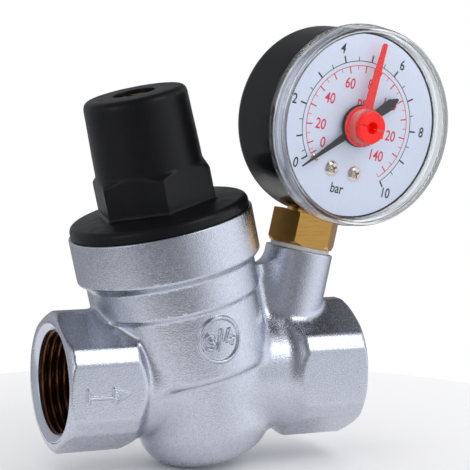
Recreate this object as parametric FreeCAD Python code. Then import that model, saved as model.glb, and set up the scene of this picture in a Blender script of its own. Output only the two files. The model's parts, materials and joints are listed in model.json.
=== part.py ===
import FreeCAD, Part
import math
import os

# Inclined diaphragm pressure reducing valve with a bottom-entry Bourdon pressure gauge.
# Millimetres. +X is the flow direction, +Z is up, -Y is the side that the dial faces.
# The origin is on the port axis, where the inlet countersink meets the inlet thread.
# Three working frames are used:
#   port frame       Z runs along the port axis, from the port's own face inwards
#   cartridge frame  Z runs up the inclined axis, from its crossing with the port axis
#   dial frame       X right, Y up and Z towards the reader, from the centre of the dial

V = FreeCAD.Vector

# ---- ports ----
COUNTERSINK = 1.7           # depth of the countersink in each port's mouth
COUNTERSINK_R = 13.75
THREAD_R = 12.06            # crest radius of the 3/4 inch pipe thread
THREAD_END = 15.7           # depth at which each threaded bore ends
INLET_LENGTH = 35.7         # inlet face to the crossing of the two axes
OUTLET_LENGTH = 40.3        # crossing of the two axes to the outlet face
HEX_FLATS = 31.1            # wrench hexagon of each port
HEX_CORNER_FLATS = 33.6     # across the narrow flats that take off its corners
FACE_R = 15.6               # end face, inside the turned chamfer
CORNER_R = 18.2
INLET_HEX = 18.4            # length of each hexagon's wide flats
OUTLET_HEX = 17.8
NECK_R = 14.6               # round neck between each hexagon and the body
CROSSING = V(INLET_LENGTH - COUNTERSINK, 0, 0)

# ---- body of the valve, in the cartridge frame ----
TILT = 13.1                 # lean of the cartridge axis towards the inlet, in degrees
CUP_R = 16.2
CUP_OFFSET = 0.8            # the casting's cup is a little off the bore's axis
CUP_BOTTOM = -20.8
CUP_CORNER_R = 8.5
SHIELD_R = 19.6             # lowest and tallest of the three bands
SHIELD_BOTTOM = 1.6
SHIELD_TOP = 19.0
MIDDLE_R = 20.4
MIDDLE_TOP = 26.6
RIM_R = 22.2
RIM_TOP = 38.5
BONNET_BORE_R = 19.2        # takes the bonnet's skirt
DIAPHRAGM_SEAT = 30.0
SENSING_R = 15.5            # chamber under the diaphragm
SENSING_FLOOR = 24.0
UPPER_R = 14.5
UPPER_FLOOR = 11.0
CAGE_BORE_R = 12.0
CAGE_SHOULDER = 5.5
LAND_BORE_R = 10.6          # sealed by the cage's ring
LOWER_CEILING = 0.0
LOWER_R = 12.6
LOWER_FLOOR = -18.0
PASSAGE_R = 5.2
PASSAGE_FALL = 0.6          # drop of the cast passages per unit of length along the ports

# ---- gauge boss ----
BOSS_X = 22.1               # from the crossing to the foot of the boss axis
BOSS_TILT = 11.8            # lean of the boss towards the outlet, in degrees
BOSS_R = 8.3
BOSS_TOP = 30.1
BOSS_BORE_R = 5.75
BOSS_BORE_END = 18.0
SENSING_HOLE_R = 1.5
WEB_TOP = 26.0
WEB_FOOT = 4.0
WEB_TOP_HALF = 2.3          # half its thickness, which grows downwards
WEB_FOOT_HALF = 7.0

# ---- bonnet and adjusting screw ----
SKIRT_R = 19.1
SKIRT_BOTTOM = 32.4
FLANGE_R = 21.6
BONNET_HEX_FLATS = 25.8
BONNET_HEX_TURN = 20.0      # one flat's normal, in degrees from -Y towards the outlet
BONNET_HEX_BOTTOM = 42.4
BONNET_HEX_TOP = 51.6
CAP_BASE_R = 12.85
CAP_TOP_R = 12.45
CAP_TOP = 69.7
SPRING_ROOM_R = 11.2
SPRING_ROOM_TOP = 60.5
DRIVER_HOLE_R = 5.0
BUSH_TOP = 66.0
BUSH_R = 6.8
SCREW_R = 3.95
SCREW_TOP = 68.9
SCREW_TIP = 57.0
SLOT_WIDTH = 1.2
SLOT_DEPTH = 1.6

# ---- moving core, in the cartridge frame ----
STEM_R = 2.5
SEAT_BORE_R = 5.5
SEAT_LIP = -3.6
SEAL_TOP = -5.9             # 2.3 mm of lift closes the valve
DIAPHRAGM_THICK = 1.5
PLATE_THICK = 1.2
SPRING_MEAN_R = 8.9
SPRING_WIRE_R = 1.3
SPRING_TURNS = 6.0
FIT = 0.05                  # radial gap between a piece and the bore that holds it

# ---- gauge, in the dial frame ----
DIAL_HEIGHT = 62.3          # dial centre above the port axis, along the boss axis
DIAL_TURN = 6.2             # turn of the gauge about the boss axis towards the outlet
CASE_R = 23.0
CASE_WALL = 0.6
CASE_BACK = -5.8
CASE_EDGE_R = 3.0
CASE_FRONT = 13.7
DIAL_R = 21.9
DIAL_BACK = 12.65
DIAL_FACE = 13.45
WINDOW_R = 24.25
WINDOW_FRONT = 18.0
WINDOW_BACK = 12.6
WINDOW_PANE = 16.5          # inner side of the pane
SOCKET_FLATS = 15.0
SOCKET_HEX_TURN = -6.9      # one flat's normal, in degrees from -Y towards the outlet
SOCKET_SHANK_R = 5.7
BLOCK_FRONT = 5.0
PLATE = 1.0                 # movement plates
TUBE_R = 15.5               # mean radius of the Bourdon tube
TUBE_WIDTH = 7.0
TUBE_THICK = 1.8
TUBE_WALL = 0.3
TUBE_START = -95.0          # in degrees from the dial frame's X; the tube runs clockwise
TUBE_SWEEP = 283.0
MODULE = 0.25               # gear teeth
PINION_TEETH = 12
SECTOR_TEETH = 77           # on the sector's full circle
SECTOR_SWING = 42.4         # degrees that move the pointer over the whole scale
SECTOR_DIRECTION = -54.0    # of the sector's pivot, from the pinion
TAIL = 5.2                  # sector pivot to link pin
POINTER_REST = -132.0       # clockwise from straight up
POINTER_BACK = 14.6         # clear of the dial screws' heads
SET_POINTER_REST = 4.0

PILLARS = ((-4.57, -11.31), (2.09, -11.51), (-4.6, 6.4))


# ---- building blocks ----

def outline(*steps):
    """Closed face in the XZ plane. A step is (r, z), or ((r, z), (r, z)) for an arc's middle and end."""
    at = None
    start = None
    edges = []
    for step in steps:
        if isinstance(step[0], tuple):
            middle = V(step[0][0], 0, step[0][1])
            end = V(step[1][0], 0, step[1][1])
            edges.append(Part.Arc(at, middle, end).toShape())
        else:
            end = V(step[0], 0, step[1])
            if at is not None:
                edges.append(Part.LineSegment(at, end).toShape())
        start = start or end
        at = end
    if (at - start).Length > 1e-6:
        edges.append(Part.LineSegment(at, start).toShape())
    return Part.Face(Part.Wire(edges))


def turned(*steps):
    """Solid of revolution about Z from a half outline of (r, z) steps."""
    return outline(*steps).revolve(V(), V(0, 0, 1), 360)


def round_corner(centre_r, centre_z, radius, start, end):
    """Arc step about a centre in the half outline, from one angle to another in degrees."""
    middle = math.radians((start + end) / 2)
    last = math.radians(end)
    return (
        (centre_r + radius * math.cos(middle), centre_z + radius * math.sin(middle)),
        (centre_r + radius * math.cos(last), centre_z + radius * math.sin(last)),
    )


def rod(radius, bottom, top, x=0.0, y=0.0):
    return Part.makeCylinder(radius, top - bottom, V(x, y, bottom))


def ring(outer, inner, bottom, top):
    return rod(outer, bottom, top).cut(rod(inner, bottom - 1, top + 1))


def box(x0, x1, y0, y1, z0, z1):
    return Part.makeBox(x1 - x0, y1 - y0, z1 - z0, V(x0, y0, z0))


def polygon(points, bottom, top):
    """Prism on a polygon of (x, y) points."""
    corners = [V(x, y, bottom) for x, y in points]
    return Part.Face(Part.makePolygon(corners + corners[:1])).extrude(V(0, 0, top - bottom))


def hexagon(flats, bottom, top, turn=0.0):
    """Hexagonal prism with one flat's normal turned from -Y by some degrees."""
    corner = flats / math.sqrt(3)
    angles = [math.radians(60 * k - 60 + turn) for k in range(6)]
    return polygon([(corner * math.cos(a), corner * math.sin(a)) for a in angles], bottom, top)


def spin(shape, degrees, centre=V()):
    turned_shape = shape.copy()
    turned_shape.rotate(centre, V(0, 0, 1), degrees)
    return turned_shape


def placed(shape, *moves):
    """Copy of a shape moved through a chain of placements, the outermost first."""
    chain = FreeCAD.Placement()
    for move in moves:
        chain = chain.multiply(move)
    moved = shape.copy()
    moved.transformShape(chain.toMatrix(), True)
    return moved


def shift(x, y, z):
    return FreeCAD.Placement(V(x, y, z), FreeCAD.Rotation())


def turn_about(axis, degrees):
    return FreeCAD.Placement(V(), FreeCAD.Rotation(axis, degrees))


TO_CROSSING = FreeCAD.Placement(CROSSING, FreeCAD.Rotation())
LEAN = turn_about(V(0, 1, 0), -TILT)
BOSS_LEAN = turn_about(V(0, 1, 0), BOSS_TILT)


def on_cartridge(shape):
    return placed(shape, TO_CROSSING, LEAN)


def on_boss(shape):
    return placed(shape, TO_CROSSING, shift(BOSS_X, 0, 0), BOSS_LEAN)


def on_dial(shape):
    upright = turn_about(V(1, 0, 0), 90)
    turn = turn_about(V(0, 0, 1), DIAL_TURN)
    return placed(shape, TO_CROSSING, shift(BOSS_X, 0, 0), BOSS_LEAN, shift(0, 0, DIAL_HEIGHT), turn, upright)


def save(name, shape):
    solids = shape.Solids
    if not solids or not shape.isValid():
        raise ValueError(f"{name} is not a valid solid")
    body = solids[0] if len(solids) == 1 else Part.makeCompound(solids)
    body.exportStep(f"parts/{name}.step")


# ---- valve body ----

def port_outside(length):
    """Port hexagon in the port frame, with turned chamfers at both ends."""
    hexagon_bar = hexagon(HEX_FLATS, 0, length + 3).common(
        hexagon(HEX_CORNER_FLATS, 0, length + 3, 30)
    )
    outer_rise = 0.74 * (CORNER_R - FACE_R)
    inner_rise = 1.25 * (CORNER_R - FACE_R)
    inner_foot = 1.25 * (FACE_R - NECK_R)
    envelope = turned(
        (0, 0),
        (FACE_R, 0),
        (CORNER_R, outer_rise),
        (CORNER_R, length - inner_rise),
        (NECK_R, length + inner_foot),
        (0, length + inner_foot),
    )
    return hexagon_bar.common(envelope)


def port_inside():
    """Countersink, thread crest bore and drill cone of one port, in the port frame."""
    return turned(
        (0, -1),
        (COUNTERSINK_R + 1, -1),
        (COUNTERSINK_R, 0),
        (THREAD_R, COUNTERSINK),
        (THREAD_R, THREAD_END),
        (9.6, THREAD_END + 1.0),
        (0, THREAD_END + 1.0),
    )


def on_inlet(shape):
    return placed(shape, shift(-COUNTERSINK, 0, 0), turn_about(V(0, 1, 0), 90))


def on_outlet(shape):
    return placed(shape, TO_CROSSING, shift(OUTLET_LENGTH, 0, 0), turn_about(V(0, 1, 0), -90))


def cup_outside():
    corner = round_corner(CUP_R - CUP_CORNER_R, CUP_BOTTOM + CUP_CORNER_R, CUP_CORNER_R, -90, 0)
    cup = turned(
        (0, CUP_BOTTOM),
        (CUP_R - CUP_CORNER_R, CUP_BOTTOM),
        corner,
        (CUP_R, SHIELD_BOTTOM + 1),
        (0, SHIELD_BOTTOM + 1),
    )
    return placed(cup, shift(CUP_OFFSET, 0, 0))


def bands_outside():
    """The three bands above the ports, each standing a little proud of the one below."""
    return turned(
        (0, SHIELD_BOTTOM - 3.4),
        (CUP_R, SHIELD_BOTTOM - 3.4),
        round_corner(SHIELD_R - 1.2, SHIELD_BOTTOM + 1.2, 1.2, -75, 0),
        (SHIELD_R, SHIELD_TOP - 0.6),
        (MIDDLE_R, SHIELD_TOP + 0.2),
        (MIDDLE_R, MIDDLE_TOP),
        round_corner(RIM_R - 1.6, MIDDLE_TOP + 2.4, 1.6, -70, 0),
        (RIM_R, RIM_TOP - 0.5),
        (RIM_R - 0.5, RIM_TOP),
        (0, RIM_TOP),
    )


def web_outside():
    """Web that fills the wedge between the bands and the gauge boss, thicker at its foot."""
    levels = ((WEB_FOOT, WEB_FOOT_HALF), (WEB_TOP, WEB_TOP_HALF))
    sections = []
    for z, half in levels:
        corners = [V(10, -half, z), V(25, -half, z), V(25, half, z), V(10, half, z)]
        sections.append(Part.makePolygon(corners + corners[:1]))
    return placed(Part.makeLoft(sections, True, True), TO_CROSSING)


def core_bore():
    """Everything bored on the inclined axis."""
    return turned(
        (0, LOWER_FLOOR),
        (LOWER_R - 1.5, LOWER_FLOOR),
        (LOWER_R, LOWER_FLOOR + 1.5),
        (LOWER_R, LOWER_CEILING),
        (LAND_BORE_R, LOWER_CEILING),
        (LAND_BORE_R, CAGE_SHOULDER),
        (CAGE_BORE_R, CAGE_SHOULDER),
        (CAGE_BORE_R, UPPER_FLOOR - 1.5),
        (UPPER_R, UPPER_FLOOR),
        (UPPER_R, SENSING_FLOOR - 1),
        (SENSING_R, SENSING_FLOOR),
        (SENSING_R, DIAPHRAGM_SEAT),
        (BONNET_BORE_R, DIAPHRAGM_SEAT),
        (BONNET_BORE_R, RIM_TOP + 1),
        (0, RIM_TOP + 1),
    )


def passage(x0, z0, x1, z1):
    """Slanting cast passage between two points of the middle plane, measured from the crossing."""
    start = V(x0, 0, z0)
    run = V(x1 - x0, 0, z1 - z0)
    return placed(Part.makeCylinder(PASSAGE_R, run.Length, start, run), TO_CROSSING)


def valve_body():
    inlet_start, inlet_end = -21.5, -3.0
    outlet_start, outlet_end = 30.0, 2.0
    body = on_inlet(port_outside(INLET_HEX))
    body = body.fuse(on_outlet(port_outside(OUTLET_HEX)))
    neck_length = INLET_LENGTH + OUTLET_LENGTH - INLET_HEX - OUTLET_HEX
    neck = placed(rod(NECK_R, 0, neck_length), shift(INLET_HEX - COUNTERSINK, 0, 0), turn_about(V(0, 1, 0), 90))
    body = body.fuse(neck)
    body = body.fuse(on_cartridge(cup_outside()))
    body = body.fuse(on_cartridge(bands_outside()))
    body = body.fuse(on_boss(rod(BOSS_R, 0, BOSS_TOP)))
    body = body.fuse(web_outside())
    body = body.removeSplitter()
    body = body.cut(on_cartridge(core_bore()))
    body = body.cut(on_inlet(port_inside()))
    body = body.cut(on_outlet(port_inside()))
    inlet_drop = -0.3 - PASSAGE_FALL * (inlet_end - inlet_start)
    outlet_rise = 0.3 + PASSAGE_FALL * (outlet_start - outlet_end)
    body = body.cut(passage(inlet_start, -0.3, inlet_end, inlet_drop))
    body = body.cut(passage(outlet_start, 0.3, outlet_end, outlet_rise))
    body = body.cut(on_boss(rod(BOSS_BORE_R, BOSS_BORE_END, BOSS_TOP + 1)))
    return body.cut(on_boss(rod(SENSING_HOLE_R, 6, BOSS_BORE_END + 1)))


# ---- bonnet and adjustment ----

def bonnet():
    hex_top_blend = turned(
        (0, BONNET_HEX_BOTTOM - 1),
        (15.2, BONNET_HEX_BOTTOM - 1),
        (15.2, BONNET_HEX_TOP - 1.6),
        (CAP_BASE_R, BONNET_HEX_TOP),
        (0, BONNET_HEX_TOP),
    )
    hex_part = hexagon(BONNET_HEX_FLATS, BONNET_HEX_BOTTOM - 1, BONNET_HEX_TOP, BONNET_HEX_TURN)
    shell = turned(
        (0, SKIRT_BOTTOM),
        (SKIRT_R, SKIRT_BOTTOM),
        (SKIRT_R, RIM_TOP),
        (FLANGE_R, RIM_TOP),
        (FLANGE_R, 40.3),
        round_corner(FLANGE_R - 1.2, 40.3, 1.2, 0, 80),
        (14.0, BONNET_HEX_BOTTOM + 0.6),
        (CAP_BASE_R, BONNET_HEX_BOTTOM + 1.2),
        (CAP_BASE_R, BONNET_HEX_TOP),
        (CAP_TOP_R, CAP_TOP - 1.0),
        round_corner(CAP_TOP_R - 1.0, CAP_TOP - 1.0, 1.0, 0, 90),
        (0, CAP_TOP),
    )
    shell = shell.fuse(hex_part.common(hex_top_blend)).removeSplitter()
    room = turned(
        (0, SKIRT_BOTTOM - 1),
        (16.4, SKIRT_BOTTOM - 1),
        (16.4, 37.4),
        (SPRING_ROOM_R, 42.0),
        (SPRING_ROOM_R, SPRING_ROOM_TOP),
        (0, SPRING_ROOM_TOP),
    )
    shell = shell.cut(room)
    shell = shell.cut(rod(BUSH_R + FIT, SPRING_ROOM_TOP - 1, BUSH_TOP))
    return shell.cut(rod(DRIVER_HOLE_R, BUSH_TOP - 1, CAP_TOP + 1))


def adjusting_screw():
    screw = turned(
        (0, SCREW_TIP),
        (2.4, SCREW_TIP),
        (SCREW_R, SCREW_TIP + 1.2),
        (SCREW_R, SCREW_TOP - 0.4),
        (SCREW_R - 0.4, SCREW_TOP),
        (0, SCREW_TOP),
    )
    half = SLOT_WIDTH / 2
    slot = box(-half, half, -5, 5, SCREW_TOP - SLOT_DEPTH, SCREW_TOP + 1)
    return screw.cut(spin(slot, 12))


def spring_seat():
    plate = rod(10.7, SCREW_TIP - 2.0, SCREW_TIP)
    boss = ring(7.2, 5.0, SCREW_TIP - 4.2, SCREW_TIP - 1.9)
    return plate.fuse(boss).removeSplitter()


def main_spring():
    """Round wire coil with its ends ground flat between the two spring plates."""
    bottom = DIAPHRAGM_SEAT + DIAPHRAGM_THICK + PLATE_THICK + 0.02
    top = SCREW_TIP - 2.02
    pitch = (top - bottom + SPRING_WIRE_R) / SPRING_TURNS
    height = pitch * SPRING_TURNS
    start = bottom - SPRING_WIRE_R / 2
    path = Part.makeHelix(pitch, height, SPRING_MEAN_R)
    section = Part.Wire(Part.makeCircle(SPRING_WIRE_R, V(SPRING_MEAN_R, 0, 0), V(0, 1, 0)))
    coil = Part.Wire(path).makePipeShell([section], True, True)
    coil.translate(V(0, 0, start))
    return coil.common(ring(12, 6, bottom, top))


# ---- diaphragm stack and obturator ----

def diaphragm():
    low = DIAPHRAGM_SEAT
    high = DIAPHRAGM_SEAT + DIAPHRAGM_THICK
    return turned(
        (STEM_R + FIT, low),
        (13.1, low),
        (13.4, low - 0.9),
        (15.0, low - 0.9),
        (15.4, low + 0.02),
        (BONNET_BORE_R - FIT, low + 0.02),
        (BONNET_BORE_R - FIT, high),
        (14.6, high),
        (14.3, high - 0.9),
        (13.9, high - 0.9),
        (13.6, high),
        (STEM_R + FIT, high),
    )


def stem():
    plate_under = DIAPHRAGM_SEAT - PLATE_THICK
    return turned(
        (0, -17.6),
        (1.6, -17.6),
        (2.0, -17.2),
        (2.0, -9.2),
        (STEM_R, -9.2),
        (STEM_R, SEAL_TOP),
        (4.2, SEAL_TOP),
        (4.2, SEAL_TOP + 0.8),
        (STEM_R, SEAL_TOP + 2.0),
        (STEM_R, plate_under - 1.8),
        (4.5, plate_under - 1.2),
        (4.5, plate_under),
        (STEM_R, plate_under),
        (STEM_R, 37.2),
        (STEM_R - 0.4, 37.6),
        (0, 37.6),
    )


def drilled_hexagon(flats, bore, bottom, top):
    return hexagon(flats, bottom, top).common(
        turned(
            (bore, bottom),
            (flats * 0.52, bottom),
            (flats * 0.6, bottom + 0.7),
            (flats * 0.6, top - 0.7),
            (flats * 0.52, top),
            (bore, top),
        )
    )


def save_core():
    plate_top = DIAPHRAGM_SEAT
    clamp_top = DIAPHRAGM_SEAT + DIAPHRAGM_THICK
    seal_bottom = SEAL_TOP - 1.3
    disc_bottom = seal_bottom - 2.0
    hole = STEM_R + FIT
    upper_plate = turned(
        (hole, clamp_top),
        (12.9, clamp_top),
        (13.2, clamp_top + 0.3),
        (13.2, clamp_top + 2.2),
        (12.2, clamp_top + 2.2),
        (12.2, clamp_top + PLATE_THICK),
        (hole, clamp_top + PLATE_THICK),
    )
    slip_ring = ring(BONNET_BORE_R - FIT, 16.4, clamp_top, SKIRT_BOTTOM - 0.02)
    save("diaphragm", on_cartridge(diaphragm()))
    save("slip_ring", on_cartridge(slip_ring))
    save("stem", on_cartridge(stem()))
    save("lower_diaphragm_plate", on_cartridge(ring(12.8, hole, plate_top - PLATE_THICK, plate_top)))
    save("upper_diaphragm_plate", on_cartridge(upper_plate))
    nut = drilled_hexagon(9.0, hole, clamp_top + PLATE_THICK, clamp_top + PLATE_THICK + 3.2)
    save("diaphragm_nut", on_cartridge(nut))
    save("seat_seal", on_cartridge(ring(6.5, hole, seal_bottom, SEAL_TOP)))
    save("obturator_disc", on_cartridge(ring(6.8, hole, disc_bottom, seal_bottom)))
    save("obturator_nut", on_cartridge(drilled_hexagon(7.0, 2.0 + FIT, disc_bottom - 2.4, disc_bottom)))


# ---- seat cage and strainer ----

def seat_cage():
    cage = turned(
        (7.6, -14.9),
        (9.0, -14.9),
        (9.0, 0.4),
        (LAND_BORE_R - FIT, 0.4),
        (LAND_BORE_R - FIT, 1.6),
        (8.7, 1.6),
        (8.7, 3.8),
        (LAND_BORE_R - FIT, 3.8),
        (LAND_BORE_R - FIT, CAGE_SHOULDER),
        (CAGE_BORE_R - FIT, CAGE_SHOULDER),
        (CAGE_BORE_R - FIT, CAGE_SHOULDER + 2.0),
        (SEAT_BORE_R + 1.4, CAGE_SHOULDER + 2.0),
        (SEAT_BORE_R, CAGE_SHOULDER + 0.8),
        (SEAT_BORE_R, SEAT_LIP),
        (SEAT_BORE_R + 0.6, SEAT_LIP),
        (SEAT_BORE_R + 0.9, SEAT_LIP + 0.7),
        (7.6, SEAT_LIP + 0.7),
    )
    window = box(-3.6, 3.6, 6, 11, -12.6, -4.6)
    for k in range(4):
        cage = cage.cut(spin(window, 45 + 90 * k))
    return cage


def lower_guide():
    return turned(
        (2.0 + 2 * FIT, -17.0),
        (9.0, -17.0),
        (9.0, -14.9),
        (7.6 - FIT, -14.9),
        (7.6 - FIT, -13.7),
        (6.4, -13.7),
        (6.4, -15.2),
        (2.0 + 2 * FIT, -15.2),
    )


def seal_ring(centre_r, centre_z, section_r):
    return Part.makeTorus(centre_r, section_r, V(0, 0, centre_z))


# ---- gauge ----

def gauge_socket():
    """Brass socket: threaded shank, hexagon, neck through the case and block inside it."""
    boss_top = BOSS_TOP - DIAL_HEIGHT
    hex_bottom = boss_top + 1.0
    hex_top = -CASE_R - 0.15
    chamfer = 1.0
    shank = turned(
        (0, BOSS_BORE_END + 0.5 - DIAL_HEIGHT),
        (SOCKET_SHANK_R - 0.8, BOSS_BORE_END + 0.5 - DIAL_HEIGHT),
        (SOCKET_SHANK_R, BOSS_BORE_END + 1.3 - DIAL_HEIGHT),
        (SOCKET_SHANK_R, hex_bottom),
        (5.0, hex_bottom + 1),
        (5.0, -20.5),
        (0, -20.5),
    )
    corner = SOCKET_FLATS / math.sqrt(3)
    hex_envelope = turned(
        (0, hex_bottom),
        (corner - chamfer, hex_bottom),
        (corner, hex_bottom + chamfer),
        (corner, hex_top),
        (0, hex_top),
    )
    nut = hexagon(SOCKET_FLATS, hex_bottom, hex_top, SOCKET_HEX_TURN - DIAL_TURN).common(hex_envelope)
    upright = placed(shank.fuse(nut), turn_about(V(1, 0, 0), -90))
    block = box(-7.2, 7.2, -21.4, -9.0, CASE_BACK + CASE_WALL, BLOCK_FRONT)
    block = block.common(case_cup(CASE_R - CASE_WALL - 0.1, CASE_BACK + CASE_WALL, CASE_EDGE_R - CASE_WALL, 9))
    socket = upright.fuse(block).removeSplitter()
    bore = placed(rod(1.2, BOSS_BORE_END - DIAL_HEIGHT, -13.4), turn_about(V(1, 0, 0), -90))
    socket = socket.cut(bore)
    socket = socket.cut(tube_sweep(TUBE_WIDTH / 2 + FIT, TUBE_THICK / 2 + FIT))
    for x, y in PILLARS[:2]:
        socket = socket.cut(rod(1.45, 0.4, BLOCK_FRONT + 1, x, y))
    for x in (-4.4, 4.4):
        socket = socket.cut(rod(1.25, CASE_BACK - 1, CASE_BACK + 3.6, x, -17.8))
    return socket


def tube_sweep(half_width, half_thick, inner=None):
    """Flattened tube bent about the dial axis, from the block clockwise to its free end."""
    def section(wide, thick):
        flat = wide - thick
        return outline(
            (TUBE_R - thick, -flat),
            ((TUBE_R, -wide), (TUBE_R + thick, -flat)),
            (TUBE_R + thick, flat),
            ((TUBE_R, wide), (TUBE_R - thick, flat)),
        )
    face = section(half_width, half_thick)
    if inner:
        face = face.cut(section(half_width - inner, half_thick - inner))
    bent = face.revolve(V(), V(0, 0, 1), -TUBE_SWEEP)
    return spin(bent, TUBE_START)


def bourdon_tube():
    return tube_sweep(TUBE_WIDTH / 2, TUBE_THICK / 2, TUBE_WALL)


def tube_tip():
    """Cap soldered on the tube's free end, with the lug that carries the link pin."""
    end = TUBE_START - TUBE_SWEEP
    cap = box(TUBE_R - 1.6, TUBE_R + 1.6, -2.2, -0.03, -TUBE_WIDTH / 2, TUBE_WIDTH / 2)
    lug = box(TUBE_R - 0.9, TUBE_R + 0.9, -2.2, -0.4, TUBE_WIDTH / 2 - 1, 7.9)
    pin = rod(0.45, 7.0, 9.4, TUBE_R, -1.3)
    return spin(cap.fuse(lug).fuse(pin).removeSplitter(), end)


def tooth_outline(teeth, addendum, dedendum, share):
    """Outline of an involute gear, its first tooth centred on X. share is tooth over half pitch."""
    pressure = math.radians(20)
    pitch_r = MODULE * teeth / 2
    base_r = pitch_r * math.cos(pressure)
    root_r = pitch_r - dedendum * MODULE
    tip_r = pitch_r + addendum * MODULE
    half = share * math.pi / (2 * teeth)
    involute = math.tan(pressure) - pressure

    def half_angle(radius):
        slope = math.acos(min(1.0, base_r / radius))
        return half + involute - (math.tan(slope) - slope)

    radii = [root_r, max(base_r, root_r), pitch_r, tip_r]
    points = []
    for k in range(teeth):
        centre = 2 * math.pi * k / teeth
        flank = [(r, -half_angle(r)) for r in radii]
        flank += [(r, half_angle(r)) for r in reversed(radii)]
        for r, a in flank:
            point = (r * math.cos(centre + a), r * math.sin(centre + a))
            if not points or math.dist(points[-1], point) > 1e-6:
                points.append(point)
    return points


def sector_pivot():
    distance = MODULE * (PINION_TEETH + SECTOR_TEETH) / 2
    direction = math.radians(SECTOR_DIRECTION)
    return V(distance * math.cos(direction), distance * math.sin(direction), 0)


def tail_pin():
    """Where the link is pinned to the sector's tail."""
    pivot = sector_pivot()
    lean = math.radians(-SECTOR_SWING / 2)
    return V(pivot.x + TAIL * math.cos(lean), pivot.y + TAIL * math.sin(lean), 0)


def pie(radius, start, end, bottom, top):
    """Sector of a disc between two directions in degrees."""
    first = V(radius * math.cos(math.radians(start)), radius * math.sin(math.radians(start)), bottom)
    middle_angle = math.radians((start + end) / 2)
    middle = V(radius * math.cos(middle_angle), radius * math.sin(middle_angle), bottom)
    last = V(radius * math.cos(math.radians(end)), radius * math.sin(math.radians(end)), bottom)
    centre = V(0, 0, bottom)
    edges = [
        Part.LineSegment(centre, first).toShape(),
        Part.Arc(first, middle, last).toShape(),
        Part.LineSegment(last, centre).toShape(),
    ]
    return Part.Face(Part.Wire(edges)).extrude(V(0, 0, top - bottom))


def sector_gear():
    """Toothed fan, tail and arbor, turned as one about the sector's pivot."""
    bottom, top = 7.2, 8.2
    to_pinion = SECTOR_DIRECTION + 180
    pitch_step = 360 / SECTOR_TEETH
    first = to_pinion - SECTOR_SWING - 1.7 * pitch_step
    last = to_pinion + 1.7 * pitch_step
    teeth = polygon(tooth_outline(SECTOR_TEETH, 0.7, 1.2, 0.88), bottom, top)
    teeth = spin(teeth, to_pinion - pitch_step / 2)
    fan = teeth.common(pie(11, first, last, bottom - 1, top + 1))
    fan = fan.cut(pie(8.2, first + 8, last - 8, bottom - 1, top + 1).cut(rod(4.4, bottom - 1, top + 1)))
    spoke = spin(box(0, 8.6, -0.8, 0.8, bottom, top), (first + last) / 2)
    hub = rod(1.9, bottom, top)
    lean = -SECTOR_SWING / 2
    arm = spin(box(0, TAIL, -1.0, 1.0, bottom, top).fuse(rod(1.0, bottom, top, TAIL, 0)), lean)
    pin = spin(rod(0.45, top, 9.4, TAIL, 0), lean)
    arbor = rod(0.6, BLOCK_FRONT + 0.3, 12.3).fuse(rod(1.0, BLOCK_FRONT + PLATE + 0.1, 11.5))
    whole = fan.fuse([spoke, hub, arm, pin, arbor]).removeSplitter()
    whole.translate(sector_pivot())
    return whole


def tip_pin():
    """Where the link is pinned to the lug on the tube's tip."""
    end = math.radians(TUBE_START - TUBE_SWEEP)
    return V(
        TUBE_R * math.cos(end) + 1.3 * math.sin(end),
        TUBE_R * math.sin(end) - 1.3 * math.cos(end),
        0,
    )


def link():
    tail = tail_pin()
    run = tip_pin() - tail
    angle = math.degrees(math.atan2(run.y, run.x))
    bottom, top = 8.4, 9.0
    strip = box(0, run.Length, -0.75, 0.75, bottom, top)
    eyes = rod(1.2, bottom, top).fuse(rod(1.2, bottom, top, run.Length, 0))
    strip = strip.fuse(eyes).removeSplitter()
    strip = strip.cut(rod(0.5, bottom - 1, top + 1)).cut(rod(0.75, bottom - 1, top + 1, run.Length, 0))
    strip = spin(strip, angle)
    strip.translate(tail)
    return strip


def pinion():
    teeth = polygon(tooth_outline(PINION_TEETH, 0.7, 1.2, 0.88), 6.6, 9.0)
    mesh_turn = SECTOR_DIRECTION
    arbor = turned(
        (0, BLOCK_FRONT + 0.3),
        (0.6, BLOCK_FRONT + 0.3),
        (0.6, BLOCK_FRONT + PLATE + 0.1),
        (1.0, BLOCK_FRONT + PLATE + 0.1),
        (1.0, 11.5),
        (0.8, 11.5),
        (0.8, POINTER_BACK),
        (0.68, POINTER_BACK + 0.5),
        (0, POINTER_BACK + 0.5),
    )
    return spin(teeth, mesh_turn).fuse(arbor).removeSplitter()


def hairspring():
    """Flat spiral from the pinion's collet, drawn as half circles of growing radius."""
    bottom, top = 9.8, 10.4
    thick, growth = 0.12, 0.22
    spiral = ring(1.5, 1.0 + 0.02, bottom, top)
    for k in range(12):
        side = 1 if k % 2 == 0 else -1
        radius = 1.5 + growth * (k + 0.5)
        centre = V(growth / 2 * side, 0, 0)
        half = box(-9, 9, 0, 9, bottom, top) if side > 0 else box(-9, 9, -9, 0, bottom, top)
        turn = ring(radius + thick / 2, radius - thick / 2, bottom, top)
        turn.translate(centre)
        spiral = spiral.fuse(turn.common(half))
    return spiral.removeSplitter()


def movement_plate(bottom, top):
    """Brass plate that spans the three pillars and both pivots."""
    pivot = sector_pivot()
    side = pivot.x + 2.6
    lower = [(-6.6, -13.4), (4.0, -13.6), (side, pivot.y - 2.4), (side, pivot.y + 2.2)]
    upper = [(2.6, 2.6), (-3.0, 8.4), (-6.2, 7.8)]
    plate = polygon(lower + upper, bottom, top)
    plate = plate.cut(rod(0.68, bottom - 1, top + 1))
    return plate.cut(rod(0.68, bottom - 1, top + 1, pivot.x, pivot.y))


def back_plate():
    plate = movement_plate(BLOCK_FRONT, BLOCK_FRONT + PLATE)
    for x, y in PILLARS:
        plate = plate.cut(rod(1.45, 0, 20, x, y))
    return plate


def front_plate():
    plate = movement_plate(DIAL_BACK - PLATE, DIAL_BACK)
    plate = plate.cut(rod(0.86, 0, 20))
    for x, y in PILLARS:
        plate = plate.cut(rod(1.15, 0, 20, x, y))
    return plate


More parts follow.
